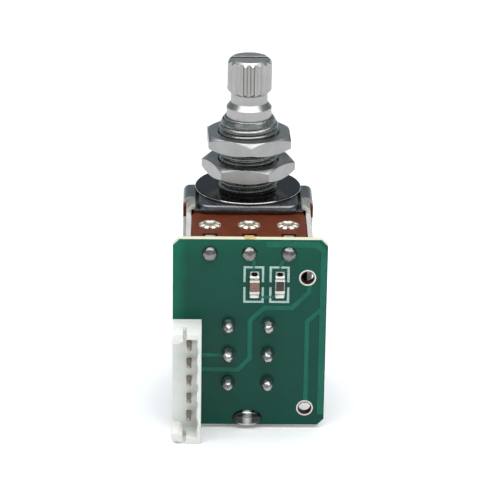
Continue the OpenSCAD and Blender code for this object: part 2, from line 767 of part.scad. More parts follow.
module slider() color("ivory") {
    rib_h = 1.6;
    rib_x = side_in - loose_gap;
    pocket_h = head_h + 0.3;
    yoke_bottom = slider_top - yoke_t;
    difference() {
        union() {
            block([-slider_half_w, -slider_front, slider_bottom], [slider_half_w, slider_back, slider_top]);
            for (z = [slider_bottom, slider_top - rib_h])
                block([-rib_x, -slider_front + 1, z], [rib_x, slider_back - 1, z + rib_h]);
        }
        // Keyhole that hooks on the shaft's groove, open at the back
        translate([0, 0, yoke_bottom - 1]) cylinder(r = groove_r + loose_gap, h = yoke_t + 2);
        block([-groove_r - loose_gap, 0, yoke_bottom - 1],
              [groove_r + loose_gap, slider_back + 1, slider_top + 1]);
        translate([0, 0, yoke_bottom - pocket_h]) cylinder(r = head_r + loose_gap, h = pocket_h);
        block([-head_r - loose_gap, 0, yoke_bottom - pocket_h],
              [head_r + loose_gap, slider_back + 1, yoke_bottom]);
        // Two detent notches, one travel apart
        for (z = [notch_z, notch_z - travel])
            along_x(-slider_half_w - 1, slider_half_w + 1) polygon([
                [slider_back - detent_depth, z], [slider_back + 1, z + detent_depth + 1],
                [slider_back + 1, z - detent_depth - 1]]);
    }
}

module bridge_contact(side) color("goldenrod") {
    x = side * switch_col / 2;
    mid = (switch_z(2) + switch_z(3)) / 2;
    half = switch_row / 2;
    y0 = -slider_front;
    tip = -base_rear + rivet_h + contact_gap;
    along_x(x - contact_w / 2, x + contact_w / 2) polygon(concat(
        [[y0, mid - half - rivet_r], [y0, mid + half + rivet_r]],
        [for (z = [mid + half, mid - half], k = [-1 : 1])
            [tip + abs(k) * 0.7 * rivet_h, z - k * rivet_r / 2]]));
}

module bridge_contact_left() bridge_contact(-1);
module bridge_contact_right() bridge_contact(1);

module detent_spring() color("goldenrod") {
    nose = slider_back + contact_gap;
    run = 0.4 * leaf_half_l;
    along_x(-leaf_half_w, leaf_half_w) polygon([
        [back_in, notch_z + leaf_half_l], [back_in - leaf_t, notch_z + leaf_half_l],
        [back_in - leaf_t, notch_z + run], [nose, notch_z], [back_in - leaf_t, notch_z - run],
        [back_in - leaf_t, notch_z - leaf_half_l], [back_in, notch_z - leaf_half_l],
        [back_in, notch_z - run], [nose + leaf_t * 1.4, notch_z], [back_in, notch_z + run]]);
}

module circuit_board() color([0.08, 0.36, 0.27]) {
    c = board_chamfer;
    difference() {
        along_y(-board_front, -board_back) polygon([
            [board_left, -board_bottom], [board_left, -board_top - c], [board_left + c, -board_top],
            [board_right - c, -board_top], [board_right, -board_top - c],
            [board_right, -board_bottom + c], [board_right - c, -board_bottom]]);
        for (i = [1 : 3]) board_hole(pot_x(i), -pot_pin_z, hole_r);
        for (i = [1 : 6]) board_hole(switch_x(i), switch_z(i), hole_r);
        for (i = [1 : pin_count]) board_hole(pin_x, pin_z(i), pin_hole_r);
        for (z = [upper_hole_z, lower_hole_z]) board_hole(wire_hole_x, -z, wire_hole_r);
        ground_lug();
    }
}

module board_hole(x, z, r) {
    to_front(x, -board_back + 1, z) cylinder(r = r, h = board_t + 2, $fn = 48);
}

module hole_rings() color("silver")
    for (z = [upper_hole_z, lower_hole_z], y = [-board_back + ring_t, -board_front])
        to_front(wire_hole_x, y, -z) difference() {
            cylinder(r = wire_hole_r + wire_ring_w, h = ring_t, $fn = 48);
            translate([0, 0, -1]) cylinder(r = wire_hole_r, h = ring_t + 2, $fn = 48);
        }

// A solder joint that stands on a face and rises along Z
module solder_cone(r, h) {
    rotate_extrude($fn = 48) polygon(concat([[0, 0]],
        [for (k = solder_profile) [k[0] * r, k[1] * h]], [[0, h]]));
}

module pot_solder() color("darkgray")
    for (i = [1 : 3]) difference() {
        to_front(pot_x(i), -board_front, -pot_pin_z) solder_cone(solder_r, pot_joint_h);
        pot_pin(i);
    }

module switch_solder() color("darkgray")
    for (i = [1 : 6]) difference() {
        to_front(switch_x(i), -board_front, switch_z(i)) solder_cone(solder_r, switch_joint_h);
        switch_lug(i);
    }

// A flat-topped blob, drawn as two round ends and the run between them
module ground_solder() color("dimgray") {
    blob_r = ground_w / 2;
    blob_x = 0.3 * ground_w;
    blob_h = 2 * ground_out;
    difference() {
        union() {
            for (x = [-blob_x, blob_x]) to_front(x, -board_front, ground_z) solder_cone(blob_r, blob_h);
            along_x(-blob_x, blob_x) polygon(concat(
                [for (k = solder_profile) [-board_front - k[1] * blob_h, ground_z + k[0] * blob_r]],
                [for (k = [len(solder_profile) - 1 : -1 : 0])
                    [-board_front - solder_profile[k][1] * blob_h,
                     ground_z - solder_profile[k][0] * blob_r]]));
        }
        ground_lug();
    }
}

module chip_body(x, h) {
    half = chip_l / 2 - chip_end;
    block([x - chip_w / 2, -board_front - h, -chip_z - half],
          [x + chip_w / 2, -board_front, -chip_z + half]);
}

module chip_ends(x, h) {
    for (side = [-1, 1])
        translate([x, 0, -chip_z + side * (chip_l - chip_end) / 2])
            block([-chip_w / 2 - chip_plating, -board_front - h - chip_plating, -chip_end / 2],
                  [chip_w / 2 + chip_plating, -board_front, chip_end / 2]);
}

module capacitor_body() color([0.45, 0.32, 0.22]) chip_body(cap_x, cap_h);
module capacitor_ends() color("silver") chip_ends(cap_x, cap_h);
module resistor_body() color([0.12, 0.12, 0.13]) chip_body(res_x, res_h);
module resistor_ends() color("silver") chip_ends(res_x, res_h);

module chip_solder() color("lightgray")
    for (x = [cap_x, res_x], side = [0, 1])
        translate([0, 0, -chip_z]) mirror([0, 0, side])
            along_x(x - chip_w / 2, x + chip_w / 2) polygon(concat(
                [[-board_front, chip_l / 2]],
                [for (s = [0 : 0.25 : 1])
                    [-board_front - chip_fillet_h * pow(1 - s, 2), chip_l / 2 + chip_fillet_l * s]]));

module connector_housing() color("white") {
    wall_x = -conn_right - conn_side_t;
    block_x = -conn_left + conn_block_w;
    left_bottom = conn_bottom + conn_step;
    mouth = -conn_front - 1;
    scallop_r = 1.6;
    difference() {
        // The lower left block has a round corner, seen from the front
        along_y(-conn_front, -board_front) polygon(concat(
            [[-conn_right, conn_top], [-conn_left, conn_top]],
            arc(-conn_left + conn_corner_r, left_bottom + conn_corner_r, conn_corner_r, 180, 270),
            [[block_x, left_bottom], [block_x, conn_bottom], [-conn_right, conn_bottom]]));
        // Cavity for the plug, between the end walls and the thin side wall
        block([block_x, mouth, conn_bottom + conn_end_t], [wall_x, -floor_front, conn_top - conn_end_t]);
        // Open left side, between the end blocks
        block([-conn_left - 1, mouth, left_bottom + conn_foot_t],
              [block_x + eps, -floor_front, conn_top - conn_foot_t]);
        // Slots in both ends, which guide the plug's ribs
        for (z = [conn_bottom - 1, conn_top - conn_end_t - eps])
            block([block_x, mouth, z],
                  [block_x + conn_slot_w, -conn_front + conn_slot_depth, z + conn_end_t + 1 + eps]);
        for (i = [1 : pin_count]) {
            to_front(wall_x + scallop_depth - scallop_r, -floor_front, pin_z(i))
                cylinder(r = scallop_r, h = conn_h, $fn = 48);
            connector_pin_shape(i);
        }
    }
}

module connector_pin_shape(i) {
    block([pin_x - pin_w / 2, -floor_front - pin_reach + pin_taper, pin_z(i) - pin_w / 2],
          [pin_x + pin_w / 2, -board_back + pin_back, pin_z(i) + pin_w / 2]);
}

module connector_pin(i) color("tan") {
    connector_pin_shape(i);
    to_front(pin_x, -floor_front - pin_reach + pin_taper, pin_z(i)) rotate([0, 0, 45])
        cylinder(r1 = pin_w / sqrt(2), r2 = pin_w / 3, h = pin_taper, $fn = 4);
}

module connector_solder() color("darkgray")
    for (i = [1 : pin_count]) difference() {
        translate([pin_x, -board_back, pin_z(i)]) rotate([-90, 0, 0])
            solder_cone(0.85 * solder_r, pin_joint_h);
        connector_pin_shape(i);
    }

shaft();
bushing();
nut_upper();
nut_lower();
washer();
front_plate();
clamp_frame();
wafer();
resistive_track();
collector_ring();
pot_case();
rotor();
wiper_contact();
for (i = [1 : 3]) {
    eyelet(i);
    pot_terminal(i);
}
switch_frame();
switch_base();
for (i = [1 : 6])
    switch_terminal(i);
slider();
bridge_contact_left();
bridge_contact_right();
detent_spring();
circuit_board();
hole_rings();
pot_solder();
switch_solder();
ground_solder();
chip_solder();
capacitor_body();
capacitor_ends();
resistor_body();
resistor_ends();
connector_housing();
connector_solder();
for (i = [1 : pin_count])
    connector_pin(i);
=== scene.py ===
import json
import math
import bpy
from mathutils import Matrix, Vector, noise


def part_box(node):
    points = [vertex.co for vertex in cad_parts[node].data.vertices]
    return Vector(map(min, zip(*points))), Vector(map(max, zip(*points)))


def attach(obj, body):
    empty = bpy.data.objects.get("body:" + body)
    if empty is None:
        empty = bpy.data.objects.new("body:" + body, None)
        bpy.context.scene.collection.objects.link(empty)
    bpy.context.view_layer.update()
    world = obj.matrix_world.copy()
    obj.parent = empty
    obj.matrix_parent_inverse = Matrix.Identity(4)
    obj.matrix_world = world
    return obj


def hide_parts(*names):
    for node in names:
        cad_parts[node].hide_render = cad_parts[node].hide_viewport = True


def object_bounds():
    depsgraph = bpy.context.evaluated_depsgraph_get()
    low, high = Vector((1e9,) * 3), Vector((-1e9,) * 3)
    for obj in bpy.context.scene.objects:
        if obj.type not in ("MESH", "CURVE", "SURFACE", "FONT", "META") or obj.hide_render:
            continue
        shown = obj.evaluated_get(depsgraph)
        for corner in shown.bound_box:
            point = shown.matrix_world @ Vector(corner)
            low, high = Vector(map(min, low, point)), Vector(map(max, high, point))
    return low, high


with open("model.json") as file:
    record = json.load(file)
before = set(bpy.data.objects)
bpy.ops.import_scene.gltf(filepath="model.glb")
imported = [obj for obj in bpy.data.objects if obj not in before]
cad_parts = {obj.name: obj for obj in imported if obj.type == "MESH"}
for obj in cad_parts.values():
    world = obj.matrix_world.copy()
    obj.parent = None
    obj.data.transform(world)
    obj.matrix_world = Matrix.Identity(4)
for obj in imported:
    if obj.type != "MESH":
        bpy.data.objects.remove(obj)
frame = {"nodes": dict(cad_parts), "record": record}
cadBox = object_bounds()
mm = 0.001

bodyOf = {node: body for body, nodes in frame["record"]["behaviour"]["bodies"].items() for node in nodes}
print("frame loaded:", len(frame["nodes"]), "nodes")


# Small helpers

def linearColour(code):
    # sRGB hex to the linear values that Blender's sockets take
    parts = [int(code[i:i + 2], 16) / 255 for i in (1, 3, 5)]
    return tuple(c / 12.92 if c <= 0.04045 else ((c + 0.055) / 1.055) ** 2.4 for c in parts) + (1.0,)


def addNode(tree, kind, inputs=None, **settings):
    node = tree.nodes.new(kind)
    for name, value in settings.items():
        setattr(node, name, value)
    for name, value in (inputs or {}).items():
        if isinstance(value, bpy.types.NodeSocket):
            tree.links.new(value, node.inputs[name])
        else:
            node.inputs[name].default_value = value
    return node


def newMaterial(name, sockets):
    material = bpy.data.materials.new(name)
    material.use_nodes = True
    shader = material.node_tree.nodes["Principled BSDF"]
    for socket, value in sockets.items():
        shader.inputs[socket].default_value = value
    return material, material.node_tree, shader


def deselectAll():
    if bpy.context.object and bpy.context.object.mode != "OBJECT":
        bpy.ops.object.mode_set(mode="OBJECT")
    bpy.ops.object.select_all(action="DESELECT")


def makeActive(piece):
    deselectAll()
    piece.select_set(True)
    bpy.context.view_layer.objects.active = piece


def linkPiece(name, data):
    piece = bpy.data.objects.new(name, data)
    bpy.context.scene.collection.objects.link(piece)
    makeActive(piece)
    return piece


def startEdit(piece):
    makeActive(piece)
    bpy.ops.object.mode_set(mode="EDIT")
    bpy.ops.mesh.select_all(action="SELECT")


def endEdit(gap=0):
    # points closer than the gap (mm) become one, and the faces point outwards
    if gap:
        bpy.ops.mesh.remove_doubles(threshold=gap * mm)
    bpy.ops.mesh.normals_make_consistent(inside=False)
    bpy.ops.object.mode_set(mode="OBJECT")


def outlinePiece(name, points, closed=True):
    # edges from point to point, each point an X and a Z in mm
    ends = len(points) if closed else len(points) - 1
    mesh = bpy.data.meshes.new(name)
    mesh.from_pydata([(x * mm, 0, z * mm) for x, z in points],
                     [(i, (i + 1) % len(points)) for i in range(ends)], [])
    return linkPiece(name, mesh)


def spinRound(piece, steps, gap):
    startEdit(piece)
    bpy.ops.mesh.spin(steps=steps, angle=2 * math.pi, center=(0, 0, 0), axis=(0, 0, 1))
    bpy.ops.mesh.select_all(action="SELECT")
    endEdit(gap)


def joinPieces(pieces, name):
    deselectAll()
    for piece in pieces:
        piece.select_set(True)
    bpy.context.view_layer.objects.active = pieces[0]
    bpy.ops.object.join()
    pieces[0].name = name
    return pieces[0]


def addModifier(piece, kind, **settings):
    modifier = piece.modifiers.new(kind.title(), kind)
    for name, value in settings.items():
        setattr(modifier, name, value)
    makeActive(piece)
    bpy.ops.object.modifier_apply(modifier=modifier.name)


def settle(piece):
    # the place goes into the mesh, so that the object itself stays at the origin
    makeActive(piece)
    bpy.ops.object.transform_apply(location=True, rotation=True, scale=True)


def dress(piece, material, node, replaced=()):
    # the piece takes its finish, rides with the body of the node that it belongs to, and may stand for nodes
    piece.data.materials.clear()
    piece.data.materials.append(material)
    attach(piece, bodyOf[node])
    if replaced:
        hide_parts(*replaced)
    return piece


# Camera, from the edges and joints of the board and the shaft as the photograph shows them

cameraLook = {
    "lens": 183.03,          # millimetres
    "sensor": 36,            # millimetres
    "pitch": 21.4,           # degrees, looking down
    "yaw": 1.229,            # degrees, turned to the right
    "roll": 0.897,           # degrees
    "distance": 344.67,      # mm from the point looked at
    "lookAt": (0.418, 0.0, -9.044),
    "clip": (0.01, 20),      # metres
}


def placeCamera(look):
    pitch, yaw, roll = (math.radians(look[k]) for k in ("pitch", "yaw", "roll"))
    forward = Vector((math.sin(yaw) * math.cos(pitch), math.cos(yaw) * math.cos(pitch), -math.sin(pitch)))
    right = Vector((math.cos(yaw), -math.sin(yaw), 0))
    up = right.cross(forward)
    turnedRight = right * math.cos(roll) + up * math.sin(roll)
    turnedUp = up * math.cos(roll) - right * math.sin(roll)
    place = (Vector(look["lookAt"]) - forward * look["distance"]) * mm
    deselectAll()
    bpy.ops.object.camera_add()
    camera = bpy.context.object
    camera.name = "mainCamera"
    camera.data.lens = look["lens"]
    camera.data.sensor_width = look["sensor"]
    camera.data.clip_start, camera.data.clip_end = look["clip"]
    turn = Matrix((turnedRight, turnedUp, -forward)).transposed().to_4x4()
    camera.matrix_world = Matrix.Translation(place) @ turn
    bpy.context.scene.camera = camera


placeCamera(cameraLook)
print("camera placed")


# Studio: a pale floor, a wide soft panel above, another behind, a weak fill in front, and a dim room behind

studioLook = {
    "floorColour": "#eeeeee", "floorRoughness": 0.7, "floorGloss": 0.2,
    "floorSize": 4, "floorMiddle": 0.6,      # metres
    "floorGlow": 0.10,       # added for camera, glossy and transmission rays, so that the floor reaches white
    "lamps": {
        # name: (watts, size in metres, place in metres)
        "overheadPanel": (3.1, (0.90, 0.26), (0.0, -0.20, 0.46)),
        "rearPanel": (2.0, (0.60, 0.30), (0.0, 0.18, 0.52)),
        "fillPanel": (0.15, (0.36, 0.30), (0.12, -0.62, 0.26)),
    },
    "lampAim": (0, 0, -0.005),
    "roomColour": "#7d8b93",                 # what upward faces mirror
    "groundGrey": 0.8, "horizon": (0.02, 0.17),      # the ground's brightness, and where it fades into the room
    "roomStrength": 1.0,
}


def buildStudio(look):
    floorZ = cadBox[0][2]
    deselectAll()
    bpy.ops.mesh.primitive_plane_add(size=look["floorSize"], location=(0, look["floorMiddle"], floorZ))
    floor = bpy.context.object
    floor.name = "studioFloor"
    settle(floor)
    material, tree, shader = newMaterial("paleFloor", {
        "Base Color": linearColour(look["floorColour"]), "Roughness": look["floorRoughness"],
        "Specular IOR Level": look["floorGloss"], "Emission Color": (1, 1, 1, 1)})
    rays = addNode(tree, "ShaderNodeLightPath")
    seen = addNode(tree, "ShaderNodeMath", {0: rays.outputs["Is Camera Ray"], 1: rays.outputs["Is Glossy Ray"]},
                   operation="MAXIMUM")
    seen = addNode(tree, "ShaderNodeMath", {0: seen.outputs[0], 1: rays.outputs["Is Transmission Ray"]},
                   operation="MAXIMUM")
    glow = addNode(tree, "ShaderNodeMath", {0: seen.outputs[0], 1: look["floorGlow"]}, operation="MULTIPLY")
    tree.links.new(glow.outputs[0], shader.inputs["Emission Strength"])
    floor.data.materials.append(material)

    for name, (watts, size, place) in look["lamps"].items():
        deselectAll()
        bpy.ops.object.light_add(type="AREA", location=place)
        lamp = bpy.context.object
        lamp.name = name
        lamp.data.shape = "RECTANGLE"
        lamp.data.size, lamp.data.size_y = size
        lamp.data.energy = watts
        aim = Vector(place) - Vector(look["lampAim"])
        lamp.rotation_euler = aim.to_track_quat("Z", "Y").to_euler()

    # The world is pale to the camera, and for other rays pale below and dim above the horizon
    world = bpy.data.worlds.new("studioRoom")
    bpy.context.scene.world = world
    world.use_nodes = True
    tree = world.node_tree
    background = tree.nodes["Background"]
    direction = addNode(tree, "ShaderNodeTexCoord")
    height = addNode(tree, "ShaderNodeSeparateXYZ", {0: direction.outputs["Generated"]})
    fade = addNode(tree, "ShaderNodeValToRGB", {0: height.outputs["Z"]})
    ground, room = fade.color_ramp.elements
    ground.position, room.position = look["horizon"]
    ground.color = (look["groundGrey"],) * 3 + (1,)
    room.color = linearColour(look["roomColour"])
    rays = addNode(tree, "ShaderNodeLightPath")
    pick = addNode(tree, "ShaderNodeMix", {0: rays.outputs["Is Camera Ray"], 6: fade.outputs["Color"],
                                           7: (1, 1, 1, 1)}, data_type="RGBA")
    tree.links.new(pick.outputs[2], background.inputs["Color"])
    background.inputs["Strength"].default_value = look["roomStrength"]
    bpy.context.scene.view_settings.view_transform = "Standard"


buildStudio(studioLook)
print("studio built")


# Finishes, first what all the metals share: the noise's detail, its range, the clouds' detail and the bump

grainLook = {"detail": 3.0, "roughness": 0.6, "low": 0.3, "high": 0.7, "cloudDetail": 2.0, "bump": 0.3}


def metalFinish(name, look):
    # a plated or rolled metal: grain in the roughness and a shallow bump, both from a real grain size
    material, tree, shader = newMaterial(name, {"Metallic": 1.0})
    place = addNode(tree, "ShaderNodeTexCoord").outputs["Object"]
    grain = addNode(tree, "ShaderNodeTexNoise", {
        "Vector": place, "Scale": 1000 / look["grainMm"], "Detail": grainLook["detail"],
        "Roughness": grainLook["roughness"]})
    clouds = addNode(tree, "ShaderNodeTexNoise", {
        "Vector": place, "Scale": 1000 / look["cloudMm"], "Detail": grainLook["cloudDetail"]})
    tint = addNode(tree, "ShaderNodeMix", {0: clouds.outputs["Fac"], 6: linearColour(look["darker"]),
                                           7: linearColour(look["lighter"])}, data_type="RGBA")
    tree.links.new(tint.outputs[2], shader.inputs["Base Color"])
    low, high = look["roughness"]
    rough = addNode(tree, "ShaderNodeMapRange", {
        "Value": grain.outputs["Fac"], "From Min": grainLook["low"], "From Max": grainLook["high"],
        "To Min": low, "To Max": high})
    tree.links.new(rough.outputs[0], shader.inputs["Roughness"])
    bump = addNode(tree, "ShaderNodeBump", {
        "Height": grain.outputs["Fac"], "Strength": look.get("bump", grainLook["bump"]),
        "Distance": look["depthMm"] * mm})
    tree.links.new(bump.outputs[0], shader.inputs["Normal"])
    return material


# Nickel on free-cutting steel, turned and then knurled by a roller: satin, with fine specks between the teeth
nickelShaft = metalFinish("nickelPlatedShaft", {
    "lighter": "#b6b4b1", "darker": "#9e9c9a", "roughness": (0.26, 0.46), "grainMm": 0.14, "cloudMm": 3.0,
    "depthMm": 0.02, "bump": 0.6})
# Nickel on brass with a cut thread: bright crests, tarnish in the roots
nickelBushing = metalFinish("nickelPlatedBushing", {
    "lighter": "#a8a9a6", "darker": "#858682", "roughness": (0.24, 0.34), "grainMm": 0.5, "cloudMm": 1.6,
    "depthMm": 0.003})
# Zinc-plated hexagon nut, tumbled: soft satin with faint blue in the shade
zincNut = metalFinish("zincPlatedNut", {
    "lighter": "#acabaa", "darker": "#949392", "roughness": (0.26, 0.4), "grainMm": 0.25, "cloudMm": 2.2,
    "depthMm": 0.01})
# Steel washer, oil-blackened and polished by the press: dark and nearly a mirror
darkWasher = metalFinish("blackenedWasher", {
    "lighter": "#3f3938", "darker": "#342f2f", "roughness": (0.1, 0.18), "grainMm": 0.4, "cloudMm": 2.5,
    "depthMm": 0.003})
# Gunmetal-coloured die casting: dark, smooth, with soft highlights along its bevel
gunmetalPlate = metalFinish("gunmetalPlate", {
    "lighter": "#737577", "darker": "#5e6062", "roughness": (0.24, 0.36), "grainMm": 0.3, "cloudMm": 2.0,
    "depthMm": 0.006})
# Zinc-plated sheet, folded: cool grey, semi-bright
zincSheet = metalFinish("zincPlatedSheet", {
    "lighter": "#888b8c", "darker": "#707375", "roughness": (0.26, 0.4), "grainMm": 0.5, "cloudMm": 3.5,
    "depthMm": 0.008})
# The same sheet, tumbled with small parts until it is satin
tumbledSheet = metalFinish("tumbledSheet", {
    "lighter": "#b9b8ae", "darker": "#9b9a90", "roughness": (0.42, 0.56), "grainMm": 0.3, "cloudMm": 2.5,
    "depthMm": 0.01})
# The same sheet where the press sheared it: no plating gloss, pale and rough
shearedSteel = metalFinish("shearedSheetEdge", {
    "lighter": "#dedbd7", "darker": "#c8c5c1", "roughness": (0.55, 0.75), "grainMm": 0.2, "cloudMm": 1.2,
    "depthMm": 0.02})
# Hot tin on brass strip: a little uneven
tinPlate = metalFinish("tinPlatedBrass", {
    "lighter": "#dedbd3", "darker": "#bdb9b1", "roughness": (0.22, 0.36), "grainMm": 0.35, "cloudMm": 0.9,
    "depthMm": 0.012})
# Tinned brass, split and rolled by a punch: the brightest metal here, satin where it stretched
rolledTin = metalFinish("rolledTinnedBrass", {
    "lighter": "#ddd5c9", "darker": "#b5ada1", "roughness": (0.36, 0.55), "grainMm": 0.3, "cloudMm": 0.6,
    "depthMm": 0.02})
# Connector pins, thinly tinned: the brass tints them
pinTin = metalFinish("thinlyTinnedPin", {
    "lighter": "#b3a8a0", "darker": "#94887f", "roughness": (0.3, 0.45), "grainMm": 0.3, "cloudMm": 0.8,
    "depthMm": 0.008})
# Tin solder that froze in air: grey and satin, bright where the lamp falls on it
solderMetal = metalFinish("frozenSolder", {
    "lighter": "#c4c2bf", "darker": "#8f8d8b", "roughness": (0.24, 0.36), "grainMm": 0.4, "cloudMm": 0.7,
    "depthMm": 0.015})
# The same solder, dulled where the iron stayed long
dullSolder = metalFinish("dulledSolder", {
    "lighter": "#94938f", "darker": "#6a6967", "roughness": (0.26, 0.38), "grainMm": 0.4, "cloudMm": 0.7,
    "depthMm": 0.015})
# Rolled phosphor bronze for the springs and wipers inside
springBronze = metalFinish("phosphorBronze", {
    "lighter": "#d9b17a", "darker": "#b98d55", "roughness": (0.22, 0.34), "grainMm": 0.3, "cloudMm": 1.5,
    "depthMm": 0.006})

# a highlight painted on the washer's edge, over this width in mm
rimLook = {"worn": "#b5b0ab", "width": 0.05}


def paintRimHighlight(material, node, look):
    tree = material.node_tree
    shader = tree.nodes["Principled BSDF"]
    plain = shader.inputs["Base Color"].links[0].from_socket
    place = addNode(tree, "ShaderNodeTexCoord").outputs["Object"]
    flat = addNode(tree, "ShaderNodeVectorMath", {0: place, 1: (1, 1, 0)}, operation="MULTIPLY")
    reach = addNode(tree, "ShaderNodeVectorMath", {0: flat.outputs[0]}, operation="LENGTH")
    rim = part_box(node)[1].x - look["width"] * mm
    # the washer's outermost band takes a painted highlight colour
    onRim = addNode(tree, "ShaderNodeMath", {0: reach.outputs["Value"], 1: rim}, operation="GREATER_THAN")
    tint = addNode(tree, "ShaderNodeMix", {0: onRim.outputs[0], 6: plain, 7: linearColour(look["worn"])},
                   data_type="RGBA")
    tree.links.new(tint.outputs[2], shader.inputs["Base Color"])


paintRimHighlight(darkWasher, "washer", rimLook)


# What all the plastics share

toneLook = {"detail": 4.0, "roughness": 0.65, "low": 0.35, "high": 0.65, "grainDetail": 2.0, "bump": 0.4}


def mouldedFinish(name, look):
    # a pressed or moulded plastic: two close tones, a fine surface grain and a steady gloss
    sockets = {"Roughness": look["roughness"], "IOR": look.get("ior", 1.5),
               "Specular IOR Level": look.get("gloss", 0.5)}
    if "subsurface" in look:
        sockets.update({"Subsurface Weight": look["subsurface"], "Subsurface Radius": look["glowTint"],
                        "Subsurface Scale": look["glowMm"] * mm})
    material, tree, shader = newMaterial(name, sockets)
    place = addNode(tree, "ShaderNodeTexCoord").outputs["Object"]
    stretch = addNode(tree, "ShaderNodeMapping", {"Vector": place, "Scale": look.get("stretch", (1, 1, 1))})
    tone = addNode(tree, "ShaderNodeTexNoise", {
        "Vector": stretch.outputs[0], "Scale": 1000 / look["toneMm"], "Detail": toneLook["detail"],
        "Roughness": toneLook["roughness"]})
    spread = addNode(tree, "ShaderNodeMapRange", {
        "Value": tone.outputs["Fac"], "From Min": toneLook["low"], "From Max": toneLook["high"]})
    tint = addNode(tree, "ShaderNodeMix", {0: spread.outputs[0], 6: linearColour(look["darker"]),
                                           7: linearColour(look["lighter"])}, data_type="RGBA")
    tree.links.new(tint.outputs[2], shader.inputs["Base Color"])
    grain = addNode(tree, "ShaderNodeTexNoise", {
        "Vector": place, "Scale": 1000 / look["grainMm"], "Detail": toneLook["grainDetail"]})
    bump = addNode(tree, "ShaderNodeBump", {"Height": grain.outputs["Fac"], "Strength": toneLook["bump"],
                                            "Distance": look["depthMm"] * mm})
    tree.links.new(bump.outputs[0], shader.inputs["Normal"])
    return material


# Phenolic paper board, punched: warm brown with faint fibres that run across it
phenolicBoard = mouldedFinish("phenolicPaperBoard", {
    "lighter": "#622a14", "darker": "#4e210e", "roughness": 0.42, "ior": 1.6, "gloss": 0.12, "toneMm": 0.6,
    "stretch": (0.25, 1.0, 2.0), "grainMm": 0.15, "depthMm": 0.006})
# Moulded phenolic: darker, with wood-flour specks
phenolicMoulding = mouldedFinish("mouldedPhenolic", {
    "lighter": "#5a3020", "darker": "#3c1f15", "roughness": 0.48, "ior": 1.6, "toneMm": 0.35,
    "grainMm": 0.2, "depthMm": 0.006})
# Natural nylon: milky, light passes a little way into it
whiteNylon = mouldedFinish("naturalNylon", {
    "lighter": "#ebebe6", "darker": "#e1e1da", "roughness": 0.38, "ior": 1.53, "toneMm": 2.5,
    "grainMm": 0.25, "depthMm": 0.004, "subsurface": 0.25, "glowMm": 0.5, "glowTint": (1.0, 0.9, 0.8)})
# Fired ceramic of a chip capacitor: matt tan brown
tanCeramic = mouldedFinish("firedCeramic", {
    "lighter": "#8a6653", "darker": "#6f4d40", "roughness": 0.4, "ior": 1.6, "toneMm": 0.3,
    "grainMm": 0.08, "depthMm": 0.003})
# Alumina of a chip resistor, grey-white where the glaze ends
aluminaBody = mouldedFinish("aluminaBody", {
    "lighter": "#a59b99", "darker": "#8f8583", "roughness": 0.5, "ior": 1.7, "toneMm": 0.3,
    "grainMm": 0.08, "depthMm": 0.003})
# Glass glaze over the resistor's film: black with a soft gloss
blackGlaze = mouldedFinish("resistorGlaze", {
    "lighter": "#2b2829", "darker": "#1c1a1b", "roughness": 0.25, "ior": 1.52, "toneMm": 0.4,
    "grainMm": 0.2, "depthMm": 0.003})
# Screen-printed carbon film, matt black
carbonFilm = mouldedFinish("carbonFilm", {
    "lighter": "#1b1b1c", "darker": "#121213", "roughness": 0.6, "toneMm": 0.3, "grainMm": 0.08,
    "depthMm": 0.002})
# White marking ink, a little thin where the screen lifted
markingInk = mouldedFinish("markingInk", {
    "lighter": "#b6ccc6", "darker": "#a2bab4", "roughness": 0.5, "toneMm": 0.35, "grainMm": 0.1,
    "depthMm": 0.003})
# Solder mask where a copper track lies under it: lighter, since the copper shines back
maskOverCopper = mouldedFinish("maskOverCopper", {
    "lighter": "#04644e", "darker": "#035a47", "roughness": 0.3, "ior": 1.5, "gloss": 0.25, "toneMm": 1.2,
    "grainMm": 0.5, "depthMm": 0.004})
# Rosin left by the iron: amber and glassy
rosinFlux = mouldedFinish("rosinFlux", {
    "lighter": "#d9c68a", "darker": "#b89c58", "roughness": 0.15, "ior": 1.54, "toneMm": 0.5,
    "grainMm": 0.4, "depthMm": 0.01})

boardLook = {
    "mask": "#004a3c", "maskDeep": "#003f33",        # in the middle, where the board is dark right through
    "maskEdge": "#007656",   # near the top and the left edge, where light comes in through the glass cloth
    # share of that light, and mm from the edge at which it is full and gone
    "topLight": (0.12, 0.4, 2.6), "leftLight": (0.42, 0.3, 2.0), "farLight": (0.12, 0, 11),
    "edge": "#d9d8c3", "edgeDark": "#bfbda0",        # bare glass epoxy, frayed by the router
    "hole": "#3a201c", "holeReach": 0.9,     # painted shade in the bore of a wire hole, and its reach in mm
    "faceTurn": (0.6, 0.75), # the mask begins, and is full, where the normal's Y reaches these
    "roughness": 0.26, "bareRoughness": 0.6, "gloss": 0.2, "detail": 3.0,
    "clothMm": 3.0, "fibreMm": 0.5, "fibreStretch": (1, 6, 1),
    "rippleMm": 1.5, "rippleBump": 0.3, "rippleDepth": 0.01,
}
wireHoles = [(mount["pos_m"][0], mount["pos_m"][2]) for mount in frame["record"]["mounts"]
             if mount["name"].startswith("wire_hole")]


def nearAxis(tree, place, x, z, radius):
    # 1 within the radius (mm) of an axis that runs front to back through x and z, else 0
    flat = addNode(tree, "ShaderNodeVectorMath", {0: place, 1: (1, 0, 1)}, operation="MULTIPLY")
    reach = addNode(tree, "ShaderNodeVectorMath", {0: flat.outputs[0], 1: (x, 0, z)}, operation="DISTANCE")
    near = addNode(tree, "ShaderNodeMath", {0: reach.outputs["Value"], 1: radius * mm}, operation="LESS_THAN")
    return near.outputs[0]


